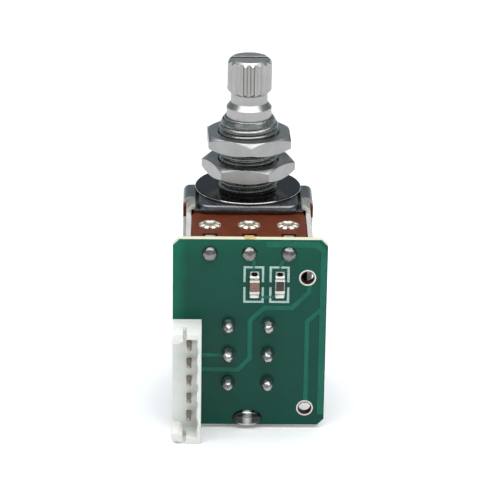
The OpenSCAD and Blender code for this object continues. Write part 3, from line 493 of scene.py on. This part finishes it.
def maskedBoard(look):
    # Glass epoxy under green solder mask: glossy and dark, with bare cream edges
    material, tree, shader = newMaterial("solderMaskOnGlassEpoxy", {
        "IOR": 1.5, "Specular IOR Level": look["gloss"]})
    low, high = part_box("circuit_board")
    place = addNode(tree, "ShaderNodeTexCoord").outputs["Object"]
    normal = addNode(tree, "ShaderNodeNewGeometry").outputs["Normal"]
    facing = addNode(tree, "ShaderNodeSeparateXYZ", {0: normal})
    towards = addNode(tree, "ShaderNodeMath", {0: facing.outputs["Y"]}, operation="ABSOLUTE")
    faceFrom, faceFull = look["faceTurn"]
    onFace = addNode(tree, "ShaderNodeMapRange", {
        "Value": towards.outputs[0], "From Min": faceFrom, "From Max": faceFull})
    spot = addNode(tree, "ShaderNodeSeparateXYZ", {0: place})
    edgeLight = 0.0
    for axis, edge, inwards, (share, full, gone), fade in (
            ("Z", high.z, -1, look["topLight"], "SMOOTHSTEP"), ("X", low.x, 1, look["leftLight"], "SMOOTHSTEP"),
            ("Z", high.z, -1, look["farLight"], "LINEAR")):
        light = addNode(tree, "ShaderNodeMapRange", {
            "Value": spot.outputs[axis], "From Min": edge + inwards * gone * mm,
            "From Max": edge + inwards * full * mm, "To Max": share}, interpolation_type=fade)
        edgeLight = addNode(tree, "ShaderNodeMath", {0: edgeLight, 1: light.outputs[0]},
                            operation="ADD").outputs[0]
    weave = addNode(tree, "ShaderNodeTexNoise", {
        "Vector": place, "Scale": 1000 / look["clothMm"], "Detail": look["detail"]})
    deep = addNode(tree, "ShaderNodeMix", {0: weave.outputs["Fac"], 6: linearColour(look["maskDeep"]),
                                           7: linearColour(look["mask"])}, data_type="RGBA")
    green = addNode(tree, "ShaderNodeMix", {0: edgeLight, 6: deep.outputs[2],
                                            7: linearColour(look["maskEdge"])}, data_type="RGBA")
    fibres = addNode(tree, "ShaderNodeMapping", {"Vector": place, "Scale": look["fibreStretch"]})
    glass = addNode(tree, "ShaderNodeTexNoise", {
        "Vector": fibres.outputs[0], "Scale": 1000 / look["fibreMm"], "Detail": look["detail"]})
    edge = addNode(tree, "ShaderNodeMix", {0: glass.outputs["Fac"], 6: linearColour(look["edgeDark"]),
                                           7: linearColour(look["edge"])}, data_type="RGBA")
    bare = edge.outputs[2]
    for x, z in wireHoles:
        # painted shade on the bore's wall round each wire hole
        inHole = nearAxis(tree, place, x, z, look["holeReach"])
        bare = addNode(tree, "ShaderNodeMix", {0: inHole, 6: bare, 7: linearColour(look["hole"])},
                       data_type="RGBA").outputs[2]
    both = addNode(tree, "ShaderNodeMix", {0: onFace.outputs[0], 6: bare, 7: green.outputs[2]},
                   data_type="RGBA")
    tree.links.new(both.outputs[2], shader.inputs["Base Color"])
    rough = addNode(tree, "ShaderNodeMapRange", {"Value": onFace.outputs[0], "To Min": look["bareRoughness"],
                                                 "To Max": look["roughness"]})
    tree.links.new(rough.outputs[0], shader.inputs["Roughness"])
    ripple = addNode(tree, "ShaderNodeTexNoise", {
        "Vector": place, "Scale": 1000 / look["rippleMm"], "Detail": 1.0})
    bump = addNode(tree, "ShaderNodeBump", {"Height": ripple.outputs["Fac"], "Strength": look["rippleBump"],
                                            "Distance": look["rippleDepth"] * mm})
    tree.links.new(bump.outputs[0], shader.inputs["Normal"])
    return material


greenBoard = maskedBoard(boardLook)

# from the hole's middle, painted shade up to silverFrom (mm), so that the hole looks wider, then silver
ringLook = {"silver": "#d9d6d2", "rosin": "#5a3a30", "silverFrom": 0.92, "roughness": (0.3, 0.5),
            "cloudMm": 0.4, "detail": 2.0}


def silveredRings(look):
    # Silver on the board's rings, bright outside, with painted shade round the bore
    material, tree, shader = newMaterial("silveredRing", {"Metallic": 1.0})
    place = addNode(tree, "ShaderNodeTexCoord").outputs["Object"]
    clouds = addNode(tree, "ShaderNodeTexNoise", {
        "Vector": place, "Scale": 1000 / look["cloudMm"], "Detail": look["detail"]})
    colour = linearColour(look["silver"])
    for x, z in wireHoles:
        # the ring's inner part takes the painted shade
        inner = nearAxis(tree, place, x, z, look["silverFrom"])
        colour = addNode(tree, "ShaderNodeMix", {0: inner, 6: colour, 7: linearColour(look["rosin"])},
                         data_type="RGBA").outputs[2]
    tree.links.new(colour, shader.inputs["Base Color"])
    low, high = look["roughness"]
    rough = addNode(tree, "ShaderNodeMapRange", {"Value": clouds.outputs["Fac"], "To Min": low, "To Max": high})
    tree.links.new(rough.outputs[0], shader.inputs["Roughness"])
    return material


silverRing = silveredRings(ringLook)

# Solder at the chip parts' ends: bright, with two spots of painted shade in the hollow of each upper fillet
chipJointLook = {"bright": "#dfdcd7", "burnt": "#2c1f1d", "roughness": 0.32,
                 "height": -5.98, "beside": 0.14, "radius": 0.26}     # mm


def chipJoints(look):
    material, tree, shader = newMaterial("chipSolder", {"Metallic": 1.0, "Roughness": look["roughness"]})
    place = addNode(tree, "ShaderNodeTexCoord").outputs["Object"]
    colour = linearColour(look["bright"])
    for node in ("capacitor_body", "resistor_body"):
        low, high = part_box(node)
        for side in (-1, 1):
            x = (low.x + high.x) / 2 + side * look["beside"] * mm
            # a spot of painted shade in the hollow of the upper fillet
            inHollow = nearAxis(tree, place, x, look["height"] * mm, look["radius"])
            colour = addNode(tree, "ShaderNodeMix", {0: inHollow, 6: colour, 7: linearColour(look["burnt"])},
                             data_type="RGBA").outputs[2]
    tree.links.new(colour, shader.inputs["Base Color"])
    return material


chipSolder = chipJoints(chipJointLook)

# painted light in a band litMm deep below the shaft's top, painted shade under it
slotLook = {"sawn": "#f0eeea", "deep": "#2b2a29", "litMm": 0.13, "roughness": 0.9}


def sawnSlot(look):
    # Steel in the shaft's slot, pale and rough from the saw, with painted light along the edge and painted
    # shade further in
    material, tree, shader = newMaterial("sawnSlot", {"Metallic": 1.0, "Roughness": look["roughness"]})
    place = addNode(tree, "ShaderNodeTexCoord").outputs["Object"]
    height = addNode(tree, "ShaderNodeSeparateXYZ", {0: place}).outputs["Z"]
    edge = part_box("shaft")[1].z - look["litMm"] * mm
    shaded = addNode(tree, "ShaderNodeMath", {0: height, 1: edge}, operation="LESS_THAN")
    tint = addNode(tree, "ShaderNodeMix", {0: shaded.outputs[0], 6: linearColour(look["sawn"]),
                                           7: linearColour(look["deep"])}, data_type="RGBA")
    tree.links.new(tint.outputs[2], shader.inputs["Base Color"])
    return material


slotWall = sawnSlot(slotLook)
print("finishes made")


# CAD pieces: the solid's own shape, with the small radius that shearing, tumbling or moulding leaves on an edge

easedPieces = {
    # node: (finish, edge radius in mm)
    "shaft": (nickelShaft, 0), "nut_upper": (zincNut, 0.05), "nut_lower": (zincNut, 0.05),
    "washer": (darkWasher, 0.03), "front_plate": (gunmetalPlate, 0.25),
    "clamp_frame": (tumbledSheet, 0.05), "switch_frame": (zincSheet, 0.05),
    "wafer": (phenolicBoard, 0.04), "pot_case": (phenolicMoulding, 0.05),
    "switch_base": (phenolicMoulding, 0.05), "rotor": (whiteNylon, 0.04), "slider": (whiteNylon, 0.06),
    **{"pot_terminal_%d" % i: (tinPlate, 0.04) for i in range(1, 4)},
    **{"switch_terminal_%d" % i: (tinPlate, 0.05) for i in range(1, 7)},
    "capacitor_body": (tanCeramic, 0.05), "resistor_body": (aluminaBody, 0.04),
    "capacitor_ends": (tinPlate, 0.06), "resistor_ends": (tinPlate, 0.05), "chip_solder": (chipSolder, 0.1),
    "connector_housing": (whiteNylon, 0.09), "circuit_board": (greenBoard, 0.03),
    **{"connector_pin_%d" % i: (pinTin, 0.03) for i in range(1, 6)},
}

# Faces that a press or a saw left bare: node, way they point, finish, and the two corners (mm) they lie between
bareFaces = [
    ("clamp_frame", (0, -1, 0), shearedSteel, (-20, -20, -20), (20, 20, 20)),
    ("clamp_frame", (0, 0, 1), shearedSteel, (-20, -20, -1.5), (20, 20, -1.0)),
    ("switch_frame", (0, -1, 0), shearedSteel, (-20, -6, -20), (20, 20, -0.6)),
    *(("pot_terminal_%d" % i, (0, 0, 1), rolledTin, (-20, -20, -20), (20, 20, 20)) for i in range(1, 4)),
    *(("shaft", (0, way, 0), slotWall, (-3, -0.1, 14), (3, 0.9, 18)) for way in (-1, 1)),
]

# Nodes that are shown as they are
plainNodes = {
    "resistive_track": carbonFilm, "collector_ring": tinPlate, "wiper_contact": springBronze,
    "bridge_contact_left": springBronze, "bridge_contact_right": springBronze, "detent_spring": springBronze,
    "hole_rings": silverRing,
}


def camelName(node):
    # a node of one word gets a second one, so that it doesn't take the solid's own name
    words = node.split("_")
    return words[0] + "".join(w.title() for w in words[1:] or ["piece"])


easeLook = {
    "gap": 0.0005,           # mm between points that become one
    "flat": 0.6,             # degrees between faces that become one
    "bevelFrom": 28, "segments": 2,
    "smooth": 40, "smoothUneased": 18,   # degrees up to which two faces shade as one
    "sameWay": 0.9,          # how far a bare face's normal has to agree with the way it is said to point
}


def copyNode(node, name, look):
    source = frame["nodes"][node]
    mesh = source.data.copy()
    mesh.transform(source.matrix_world)
    piece = linkPiece(name, mesh)
    bpy.ops.mesh.customdata_custom_splitnormals_clear()
    startEdit(piece)
    bpy.ops.mesh.remove_doubles(threshold=look["gap"] * mm)
    bpy.ops.mesh.dissolve_limited(angle_limit=math.radians(look["flat"]))
    bpy.ops.object.mode_set(mode="OBJECT")
    return piece


def easeNode(node, material, radius, look):
    piece = copyNode(node, camelName(node), look)
    if radius:
        addModifier(piece, "BEVEL", width=radius * mm, segments=look["segments"], limit_method="ANGLE",
                    angle_limit=math.radians(look["bevelFrom"]), use_clamp_overlap=False,
                    miter_outer="MITER_ARC")
    makeActive(piece)
    bpy.ops.object.shade_smooth_by_angle(angle=math.radians(look["smooth" if radius else "smoothUneased"]))
    if radius:
        # the wide faces keep their own direction, and only the eased edges turn from one to the next
        addModifier(piece, "WEIGHTED_NORMAL", keep_sharp=True)
    dress(piece, material, node, [node])
    for name, way, bare, low, high in bareFaces:
        if name == node:
            piece.data.materials.append(bare)
            for face in piece.data.polygons:
                inside = all(a < c / mm < b for a, c, b in zip(low, face.center, high))
                if inside and face.normal.dot(Vector(way)) > look["sameWay"]:
                    face.material_index = len(piece.data.materials) - 1


for node, (material, radius) in easedPieces.items():
    easeNode(node, material, radius, easeLook)
for node, material in plainNodes.items():
    solid = frame["nodes"][node]
    solid.data.materials.clear()
    solid.data.materials.append(material)
print("solids dressed:", len(easedPieces) + len(plainNodes))


# Bushing with its fine thread

bushingLook = {
    # radii and heights in mm
    "boreRadius": 3.04, "crestRadius": 3.95, "rootRadius": 3.52, "pitch": 0.75,
    "threadStart": 0.1075,   # puts the crests where they show between the nuts
    "lipRadius": 3.33,
    # the rolled lip and the shoulder under it, from the lip's or the root's radius and the top
    "lip": [(-0.12, 0), (-0.03, -0.05), (0, -0.14), (-0.03, -0.22), (-0.1, -0.28)],
    "shoulder": [(-0.12, -0.45), (0, -0.75)],
    "collar": (0.42, 0.3),   # heights between which the root widens to the crest above the plate
    "chamferHeight": 1.15, "chamferWidth": 0.6,
    "spigotRadius": 3.44, "spigotBottom": -1.2, "stakeRadius": 3.79, "stakeChamfer": 0.1,
    "turnSteps": 96, "gap": 0.0005,
    # a rib's half section in steps, its foot under the root, its roundness, and its half width in pitches
    "ribSteps": 6, "ribSink": 0.05, "ribRound": 0.8, "ribWidth": 0.47, "threadSteps": 72,
    "threadFoot": 0.05, "threadTop": 0.1,    # how far inside the plate's face and the lip the thread ends
    "smooth": 55,            # degrees
}


def buildBushing(look):
    low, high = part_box("bushing")
    top, bottom = high.z / mm, low.z / mm
    bore, lip, root, crest = (look[k] for k in ("boreRadius", "lipRadius", "rootRadius", "crestRadius"))
    spigot, stake, chamfer = look["spigotRadius"], look["stakeRadius"], look["stakeChamfer"]
    collarTop, collarFoot = look["collar"]
    core = outlinePiece(camelName("bushing"), [
        (bore, top), *((lip + x, top + z) for x, z in look["lip"]),
        *((root + x, top + z) for x, z in look["shoulder"]), (root, collarTop), (crest, collarFoot),
        (crest, 0.0), (spigot, 0.0), (spigot, look["spigotBottom"]), (stake, look["spigotBottom"]),
        (stake, bottom + chamfer), (stake - chamfer, bottom), (bore, bottom)])
    spinRound(core, look["turnSteps"], look["gap"])
    # one turn's cross-section, swept up the helix
    pitch, start, foot = look["pitch"], look["threadStart"], root - look["ribSink"]
    steps = look["ribSteps"]
    section = [(foot + (crest - foot) * math.cos(i / steps * math.pi / 2) ** look["ribRound"],
                start + look["ribWidth"] * pitch * (i / steps)) for i in range(-steps, steps + 1)]
    thread = outlinePiece("thread", section)
    threadTop = top - look["threadTop"]
    addModifier(thread, "SCREW", axis="Z", angle=2 * math.pi, screw_offset=pitch * mm,
                iterations=int((threadTop - start) / pitch), steps=look["threadSteps"],
                render_steps=look["threadSteps"], use_merge_vertices=False)
    startEdit(thread)
    bpy.ops.mesh.fill_holes(sides=len(section) + 1)
    endEdit()
    for vertex in thread.data.vertices:
        # the chamfer takes the crests down towards the top, and the run-out sinks them at the foot
        past = max(0.0, vertex.co.z / mm - (top - look["chamferHeight"]))
        limit = crest - past * look["chamferWidth"] / look["chamferHeight"]
        reach = math.hypot(vertex.co.x, vertex.co.y) / mm
        if reach > limit:
            vertex.co.x *= limit / reach
            vertex.co.y *= limit / reach
        vertex.co.z = min(max(vertex.co.z, look["threadFoot"] * mm), threadTop * mm)
    joinPieces([core, thread], core.name)
    makeActive(core)
    bpy.ops.object.shade_smooth_by_angle(angle=math.radians(look["smooth"]))
    dress(core, nickelBushing, "bushing", ["bushing"])


buildBushing(bushingLook)
print("bushing threaded")


# Eyelets: a barrel whose end is split into petals and rolled back over the wafer

eyeletLook = {
    # radii, heights and depths in mm
    "petals": 8, "petalSteps": 12, "height": 0.3,
    # from the petals' tips over the rolled crown and down the barrel, heights from the wafer's face
    "front": [(1.5, 0.0), (1.5, 0.07), (1.3, 0.2), (1.08, 0.29), (0.9, 0.3), (0.74, 0.22), (0.61, 0.02),
              (0.58, -0.25)],
    # out over the rear flange, heights from the eyelet's rear
    "rear": [(0.58, 0.0), (1.2, 0.0), (1.3, 0.06), (1.3, 0.25), (0.9, 0.25)],
    "stem": 0.9,
    # a slit is cut this share of the radius deep, and begins at splitFrom of the way from petal to slit;
    # it grows from no depth at slitInner, over slitReach, and takes the rim down by slitDrop
    "slitDepth": 0.34, "slitFrom": 0.55, "slitPower": 1.5, "slitInner": 0.8, "slitReach": 0.6, "slitDrop": 0.75,
    "gap": 0.002, "smooth": 50,
}


def buildEyelet(node, look):
    low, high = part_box(node)
    centre = (low + high) / 2
    base = high.z - look["height"] * mm
    rear = (low.z - base) / mm
    rings = [*look["front"], *((radius, rear + height) for radius, height in look["rear"]), (look["stem"], 0.0)]
    now, rise = rings[0]
    deselectAll()
    bpy.ops.mesh.primitive_circle_add(vertices=look["petals"] * look["petalSteps"], radius=now * mm,
                                      location=(centre.x, centre.y, base))
    piece = bpy.context.object
    piece.name = camelName(node)
    settle(piece)
    startEdit(piece)
    for radius, height in rings[1:]:
        factor = radius / now
        bpy.ops.mesh.extrude_edges_move()
        bpy.ops.transform.translate(value=(0, 0, (height - rise) * mm))
        bpy.ops.transform.resize(value=(factor, factor, 1), center_override=(centre.x, centre.y, 0))
        now, rise = radius, height
    bpy.ops.object.mode_set(mode="OBJECT")
    for vertex in piece.data.vertices:
        # the slits pull the rim in and down between the petals
        offset = vertex.co - Vector((centre.x, centre.y, base))
        reach = math.hypot(offset.x, offset.y) / mm
        if offset.z > -0.01 * mm and reach > look["slitInner"]:
            angle = math.atan2(offset.y, offset.x) * look["petals"] / (2 * math.pi)
            split = abs(2 * (angle - math.floor(angle)) - 1)         # 1 in a slit, 0 in a petal's middle
            depth = max(0.0, (split - look["slitFrom"]) / (1 - look["slitFrom"])) ** look["slitPower"]
            depth *= min(1.0, (reach - look["slitInner"]) / look["slitReach"])
            scale = 1 - look["slitDepth"] * depth
            vertex.co.x = centre.x + offset.x * scale
            vertex.co.y = centre.y + offset.y * scale
            vertex.co.z = base + offset.z * (1 - look["slitDrop"] * depth)
    startEdit(piece)
    endEdit(look["gap"])
    bpy.ops.object.shade_smooth_by_angle(angle=math.radians(look["smooth"]))
    dress(piece, rolledTin, node, [node])


for i in (1, 2, 3):
    buildEyelet("eyelet_%d" % i, eyeletLook)
print("eyelets rolled")


# Solder joints: domes that wet the pad and draw up round the pin

domeLook = {
    # half outline from the middle of the foot to the crown, in shares of the radius and of the height
    "outline": [(0.0, 0.0), (0.55, 0.0), (1.0, 0.0), (1.0, 0.05), (0.98, 0.19), (0.93, 0.36), (0.86, 0.51),
                (0.76, 0.65), (0.63, 0.78), (0.48, 0.88), (0.3, 0.955), (0.12, 0.993), (0.0, 1.0)],
    "steps": 40, "gap": 0.001,
    # lumps that the metal leaves as it sets: their size in mm, and their share of the width and the height
    "lumpMm": 0.55, "lumpWide": 0.06, "lumpHigh": 0.05, "lumpFrom": 0.02, "lumpRise": 3,
    "seedStep": (7.3, 3.1, 0),
}


def solderDome(name, radius, height, pull, seed, look):
    # the outline spun and swollen unevenly, its crown drawn aside by pull (mm), and all of it turned forwards
    piece = outlinePiece(name, [(r * radius, h * height) for r, h in look["outline"]], closed=False)
    spinRound(piece, look["steps"], look["gap"])
    addModifier(piece, "SUBSURF", levels=1, render_levels=1)
    for vertex in piece.data.vertices:
        up = vertex.co.z / (height * mm)
        if up > look["lumpFrom"]:
            lump = noise.noise(vertex.co / (look["lumpMm"] * mm) + Vector([seed * s for s in look["seedStep"]]))
            grow = 1 + look["lumpWide"] * lump * min(1, up * look["lumpRise"])
            vertex.co.x *= grow
            vertex.co.y = vertex.co.y * grow + pull * mm * up * up
            vertex.co.z *= 1 + look["lumpHigh"] * lump
    piece.matrix_world = Matrix.Rotation(math.radians(90), 4, "X")
    settle(piece)
    bpy.ops.object.shade_smooth()
    return piece


jointLook = {
    # mm; cover is how far a dome stands out past the solid that it replaces, pull how far its crown leans
    "potRadius": 1.02, "switchRadius": 0.95, "pinRadius": 0.85, "cover": 0.2, "pull": -0.08,
}
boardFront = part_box("circuit_board")[0].y
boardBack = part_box("circuit_board")[1].y


def solderRow(name, node, spots, radius, seed, material=solderMetal, behind=False):
    # one dome for each (x, z) in metres, on the board's front or back, as high as the node's own solids
    low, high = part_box(node)
    height = (high.y - boardBack if behind else boardFront - low.y) / mm + jointLook["cover"]
    domes = []
    for i, (x, z) in enumerate(spots):
        dome = solderDome("%s%d" % (name, i), radius, height, jointLook["pull"], seed + i, domeLook)
        turn = Matrix.Rotation(math.pi if behind else 0.0, 4, "Z")
        dome.matrix_world = Matrix.Translation((x, boardBack if behind else boardFront, z)) @ turn
        settle(dome)
        domes.append(dome)
    dress(joinPieces(domes, name), material, node, [node])


def middle(node, axis):
    low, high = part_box(node)
    return (low[axis] + high[axis]) / 2


potZ = middle("pot_solder", 2)
solderRow("potSolder", "pot_solder", [(middle("pot_terminal_%d" % i, 0), potZ) for i in range(1, 4)],
          jointLook["potRadius"], 1, dullSolder)
low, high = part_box("switch_solder")
reach = jointLook["switchRadius"] * mm
solderRow("switchSolder", "switch_solder",
          [(x, z) for x in (low.x + reach, high.x - reach)
           for z in (low.z + reach, (low.z + high.z) / 2, high.z - reach)],
          jointLook["switchRadius"], 5)
solderRow("connectorSolder", "connector_solder",
          [(middle("connector_pin_%d" % i, 0), middle("connector_pin_%d" % i, 2)) for i in range(1, 6)],
          jointLook["pinRadius"], 13, behind=True)
print("joints soldered")


# Earth joint: a wide pool of solder, dark under a skin of burnt flux

earthLook = {
    "halfWidth": 1.95, "halfHeight": 1.17, "rise": 0.82, "seed": 31,     # mm
    # bare is the colour of the bare lug and also of the painted reflection on the crown
    "dark": "#28312f", "bare": "#dcdad5",
    # mm: the bare lug's half width, the soft edge inside it, and how far below the middle it begins and is full
    "lug": 1.25, "lugEdge": 0.2, "lugFrom": 0.58, "lugFull": 0.72,
    # the painted reflection on the crown: half width in mm where it is gone and where it is full, and its share
    "crown": (0.7, 0.1, 0.75),
    "coat": {"Coat Weight": 0.5, "Coat Roughness": 0.12, "Coat IOR": 1.54},
    "cloudMm": 0.6, "detail": 2.0, "roughness": (0.12, 0.34), "bump": 0.5, "depthMm": 0.04,
}


def fluxedSolder(look):
    # solder seen through burnt rosin: dark and glassy, with a pale painted reflection in the middle, bright
    # where the lug's end is bare
    material, tree, shader = newMaterial("fluxedSolder", {"Metallic": 1.0, **look["coat"]})
    place = addNode(tree, "ShaderNodeTexCoord").outputs["Object"]
    spot = addNode(tree, "ShaderNodeSeparateXYZ", {0: place})
    across = addNode(tree, "ShaderNodeMath", {0: spot.outputs["X"]}, operation="ABSOLUTE")
    inside = addNode(tree, "ShaderNodeMapRange", {
        "Value": across.outputs[0], "From Min": look["lug"] * mm,
        "From Max": (look["lug"] - look["lugEdge"]) * mm})
    low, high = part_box("ground_solder")
    middleZ = (low.z + high.z) / 2
    below = addNode(tree, "ShaderNodeMapRange", {
        "Value": spot.outputs["Z"], "From Min": middleZ - look["lugFrom"] * mm,
        "From Max": middleZ - look["lugFull"] * mm})
    bareEnd = addNode(tree, "ShaderNodeMath", {0: inside.outputs[0], 1: below.outputs[0]}, operation="MULTIPLY")
    gone, full, share = look["crown"]
    crown = addNode(tree, "ShaderNodeMapRange", {
        "Value": across.outputs[0], "From Min": gone * mm, "From Max": full * mm, "To Max": share})
    # the bare lug's end, and the painted reflection on the crown
    lugAndGlint = addNode(tree, "ShaderNodeMath", {0: bareEnd.outputs[0], 1: crown.outputs[0]}, operation="MAXIMUM")
    tint = addNode(tree, "ShaderNodeMix", {0: lugAndGlint.outputs[0], 6: linearColour(look["dark"]),
                                           7: linearColour(look["bare"])}, data_type="RGBA")
    tree.links.new(tint.outputs[2], shader.inputs["Base Color"])
    clouds = addNode(tree, "ShaderNodeTexNoise", {
        "Vector": place, "Scale": 1000 / look["cloudMm"], "Detail": look["detail"]})
    smooth, dull = look["roughness"]
    rough = addNode(tree, "ShaderNodeMapRange", {
        "Value": clouds.outputs["Fac"], "To Min": smooth, "To Max": dull})
    tree.links.new(rough.outputs[0], shader.inputs["Roughness"])
    bump = addNode(tree, "ShaderNodeBump", {"Height": clouds.outputs["Fac"], "Strength": look["bump"],
                                            "Distance": look["depthMm"] * mm})
    tree.links.new(bump.outputs[0], shader.inputs["Normal"])
    return material


def buildEarthJoint(look):
    low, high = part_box("ground_solder")
    centre = (low + high) / 2
    centre.y = boardFront
    piece = solderDome("groundSolder", 1.0, look["rise"], 0.0, look["seed"], domeLook)
    for vertex in piece.data.vertices:
        vertex.co.x *= look["halfWidth"]
        vertex.co.z *= look["halfHeight"]
    piece.matrix_world = Matrix.Translation(centre)
    settle(piece)
    dress(piece, fluxedSolder(look), "ground_solder", ["ground_solder"])


buildEarthJoint(earthLook)
print("earth joint made")


# Rosin that ran over the board's top edge at the middle terminal

rosinLook = {"radius": 0.75, "rise": 0.22, "x": 0.05, "inset": 0.02, "seed": 44}     # mm


def buildRosin(look):
    low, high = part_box("circuit_board")
    drop = solderDome("rosinDrop", look["radius"], look["rise"], 0.0, look["seed"], domeLook)
    # the dome is made to stand out of the board's front; here it lies on the upper edge
    drop.matrix_world = (Matrix.Translation((look["x"] * mm, (low.y + high.y) / 2, high.z))
                         @ Matrix.Rotation(math.radians(-90), 4, "X"))
    settle(drop)
    for vertex in drop.data.vertices:
        vertex.co.y = min(max(vertex.co.y, low.y + look["inset"] * mm), high.y - look["inset"] * mm)
    dress(drop, rosinFlux, "circuit_board")


buildRosin(rosinLook)

# Glaze over the chip resistor's film: a thin plate with eased edges on the body's face

# mm: left bare at each side of the body, run past it at each end, thickness, and width of the eased edge
glazeLook = {"side": 0.13, "past": 0.06, "thick": 0.05, "edge": 0.02, "smooth": 50}


def buildGlaze(look):
    low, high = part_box("resistor_body")
    size = (high.x - low.x - 2 * look["side"] * mm, look["thick"] * mm, high.z - low.z + 2 * look["past"] * mm)
    place = ((low.x + high.x) / 2, low.y, (low.z + high.z) / 2)
    deselectAll()
    bpy.ops.mesh.primitive_cube_add(size=1, location=place, scale=size)
    piece = bpy.context.object
    piece.name = "resistorGlazePlate"
    settle(piece)
    addModifier(piece, "BEVEL", width=look["edge"] * mm, segments=2)
    bpy.ops.object.shade_smooth_by_angle(angle=math.radians(look["smooth"]))
    dress(piece, blackGlaze, "resistor_body")


buildGlaze(glazeLook)

# Tracks under the mask and white marking lines on the board's front

trackRise = 0.02
# each track's width, then the (x, z) points of its middle line, all in mm
tracks = [
    (0.65, [(7.85, -7.3), (7.78, -8.5), (5.63, -10.70), (2.03, -10.73), (0.2, -12.51), (0.22, -17.85),
            (-1.3, -19.5), (-6.6, -19.5)]),
    (0.5, [(-6.6, -17.45), (-3.4, -17.44)]),
    (0.85, [(2.2, -1.9), (8.75, -1.9), (9.62, -2.8), (9.62, -25.9)]),
    (0.6, [(9.6, -10.7), (7.66, -12.6), (7.66, -24.2)]),
    (0.5, [(0.6, -3.9), (0.6, -5.4)]),
    (0.5, [(4.7, -3.9), (4.02, -4.6), (4.02, -5.4)]),
    (0.5, [(1.4, -9.2), (3.3, -9.2)]),
]
# the frames round the chip parts: the lines' width, and the heights between which each frame is open
inkLook = {"width": 0.3, "rise": 0.02, "gap": (-7.11, -7.81), "top": -5.05, "bottom": -9.86,
           "sides": [(-0.57, 1.80), (2.79, 5.10)]}


def layLine(name, points, width, rise):
    # a flattened strip along a path, drawn on the board's front face
    curve = bpy.data.curves.new(name, "CURVE")
    curve.dimensions = "2D"
    curve.bevel_depth = width / 2 * mm
    curve.bevel_resolution = 3           # steps in a quarter of the strip's round section
    curve.use_fill_caps = True
    spline = curve.splines.new("POLY")
    spline.points.add(len(points) - 1)
    for point, (x, z) in zip(spline.points, points):
        point.co = (x * mm, z * mm, 0, 1)
    linkPiece(name, curve)
    bpy.ops.object.convert(target="MESH")
    strip = bpy.context.object
    strip.scale = (1, 1, 2 * rise / width)
    settle(strip)
    strip.matrix_world = Matrix.Translation((0, boardFront, 0)) @ Matrix.Rotation(math.radians(90), 4, "X")
    settle(strip)
    bpy.ops.object.shade_smooth()
    return strip


strips = [layLine("track%d" % i, points, width, trackRise) for i, (width, points) in enumerate(tracks)]
dress(joinPieces(strips, "boardTracks"), maskOverCopper, "circuit_board")

strips = []
for left, right in inkLook["sides"]:
    for name, gap, end in zip(("frameTop", "frameBottom"), inkLook["gap"], (inkLook["top"], inkLook["bottom"])):
        strips.append(layLine(name, [(left, gap), (left, end), (right, end), (right, gap)],
                              inkLook["width"], inkLook["rise"]))
dress(joinPieces(strips, "partFrameMarks"), markingInk, "circuit_board")
print("board marked")
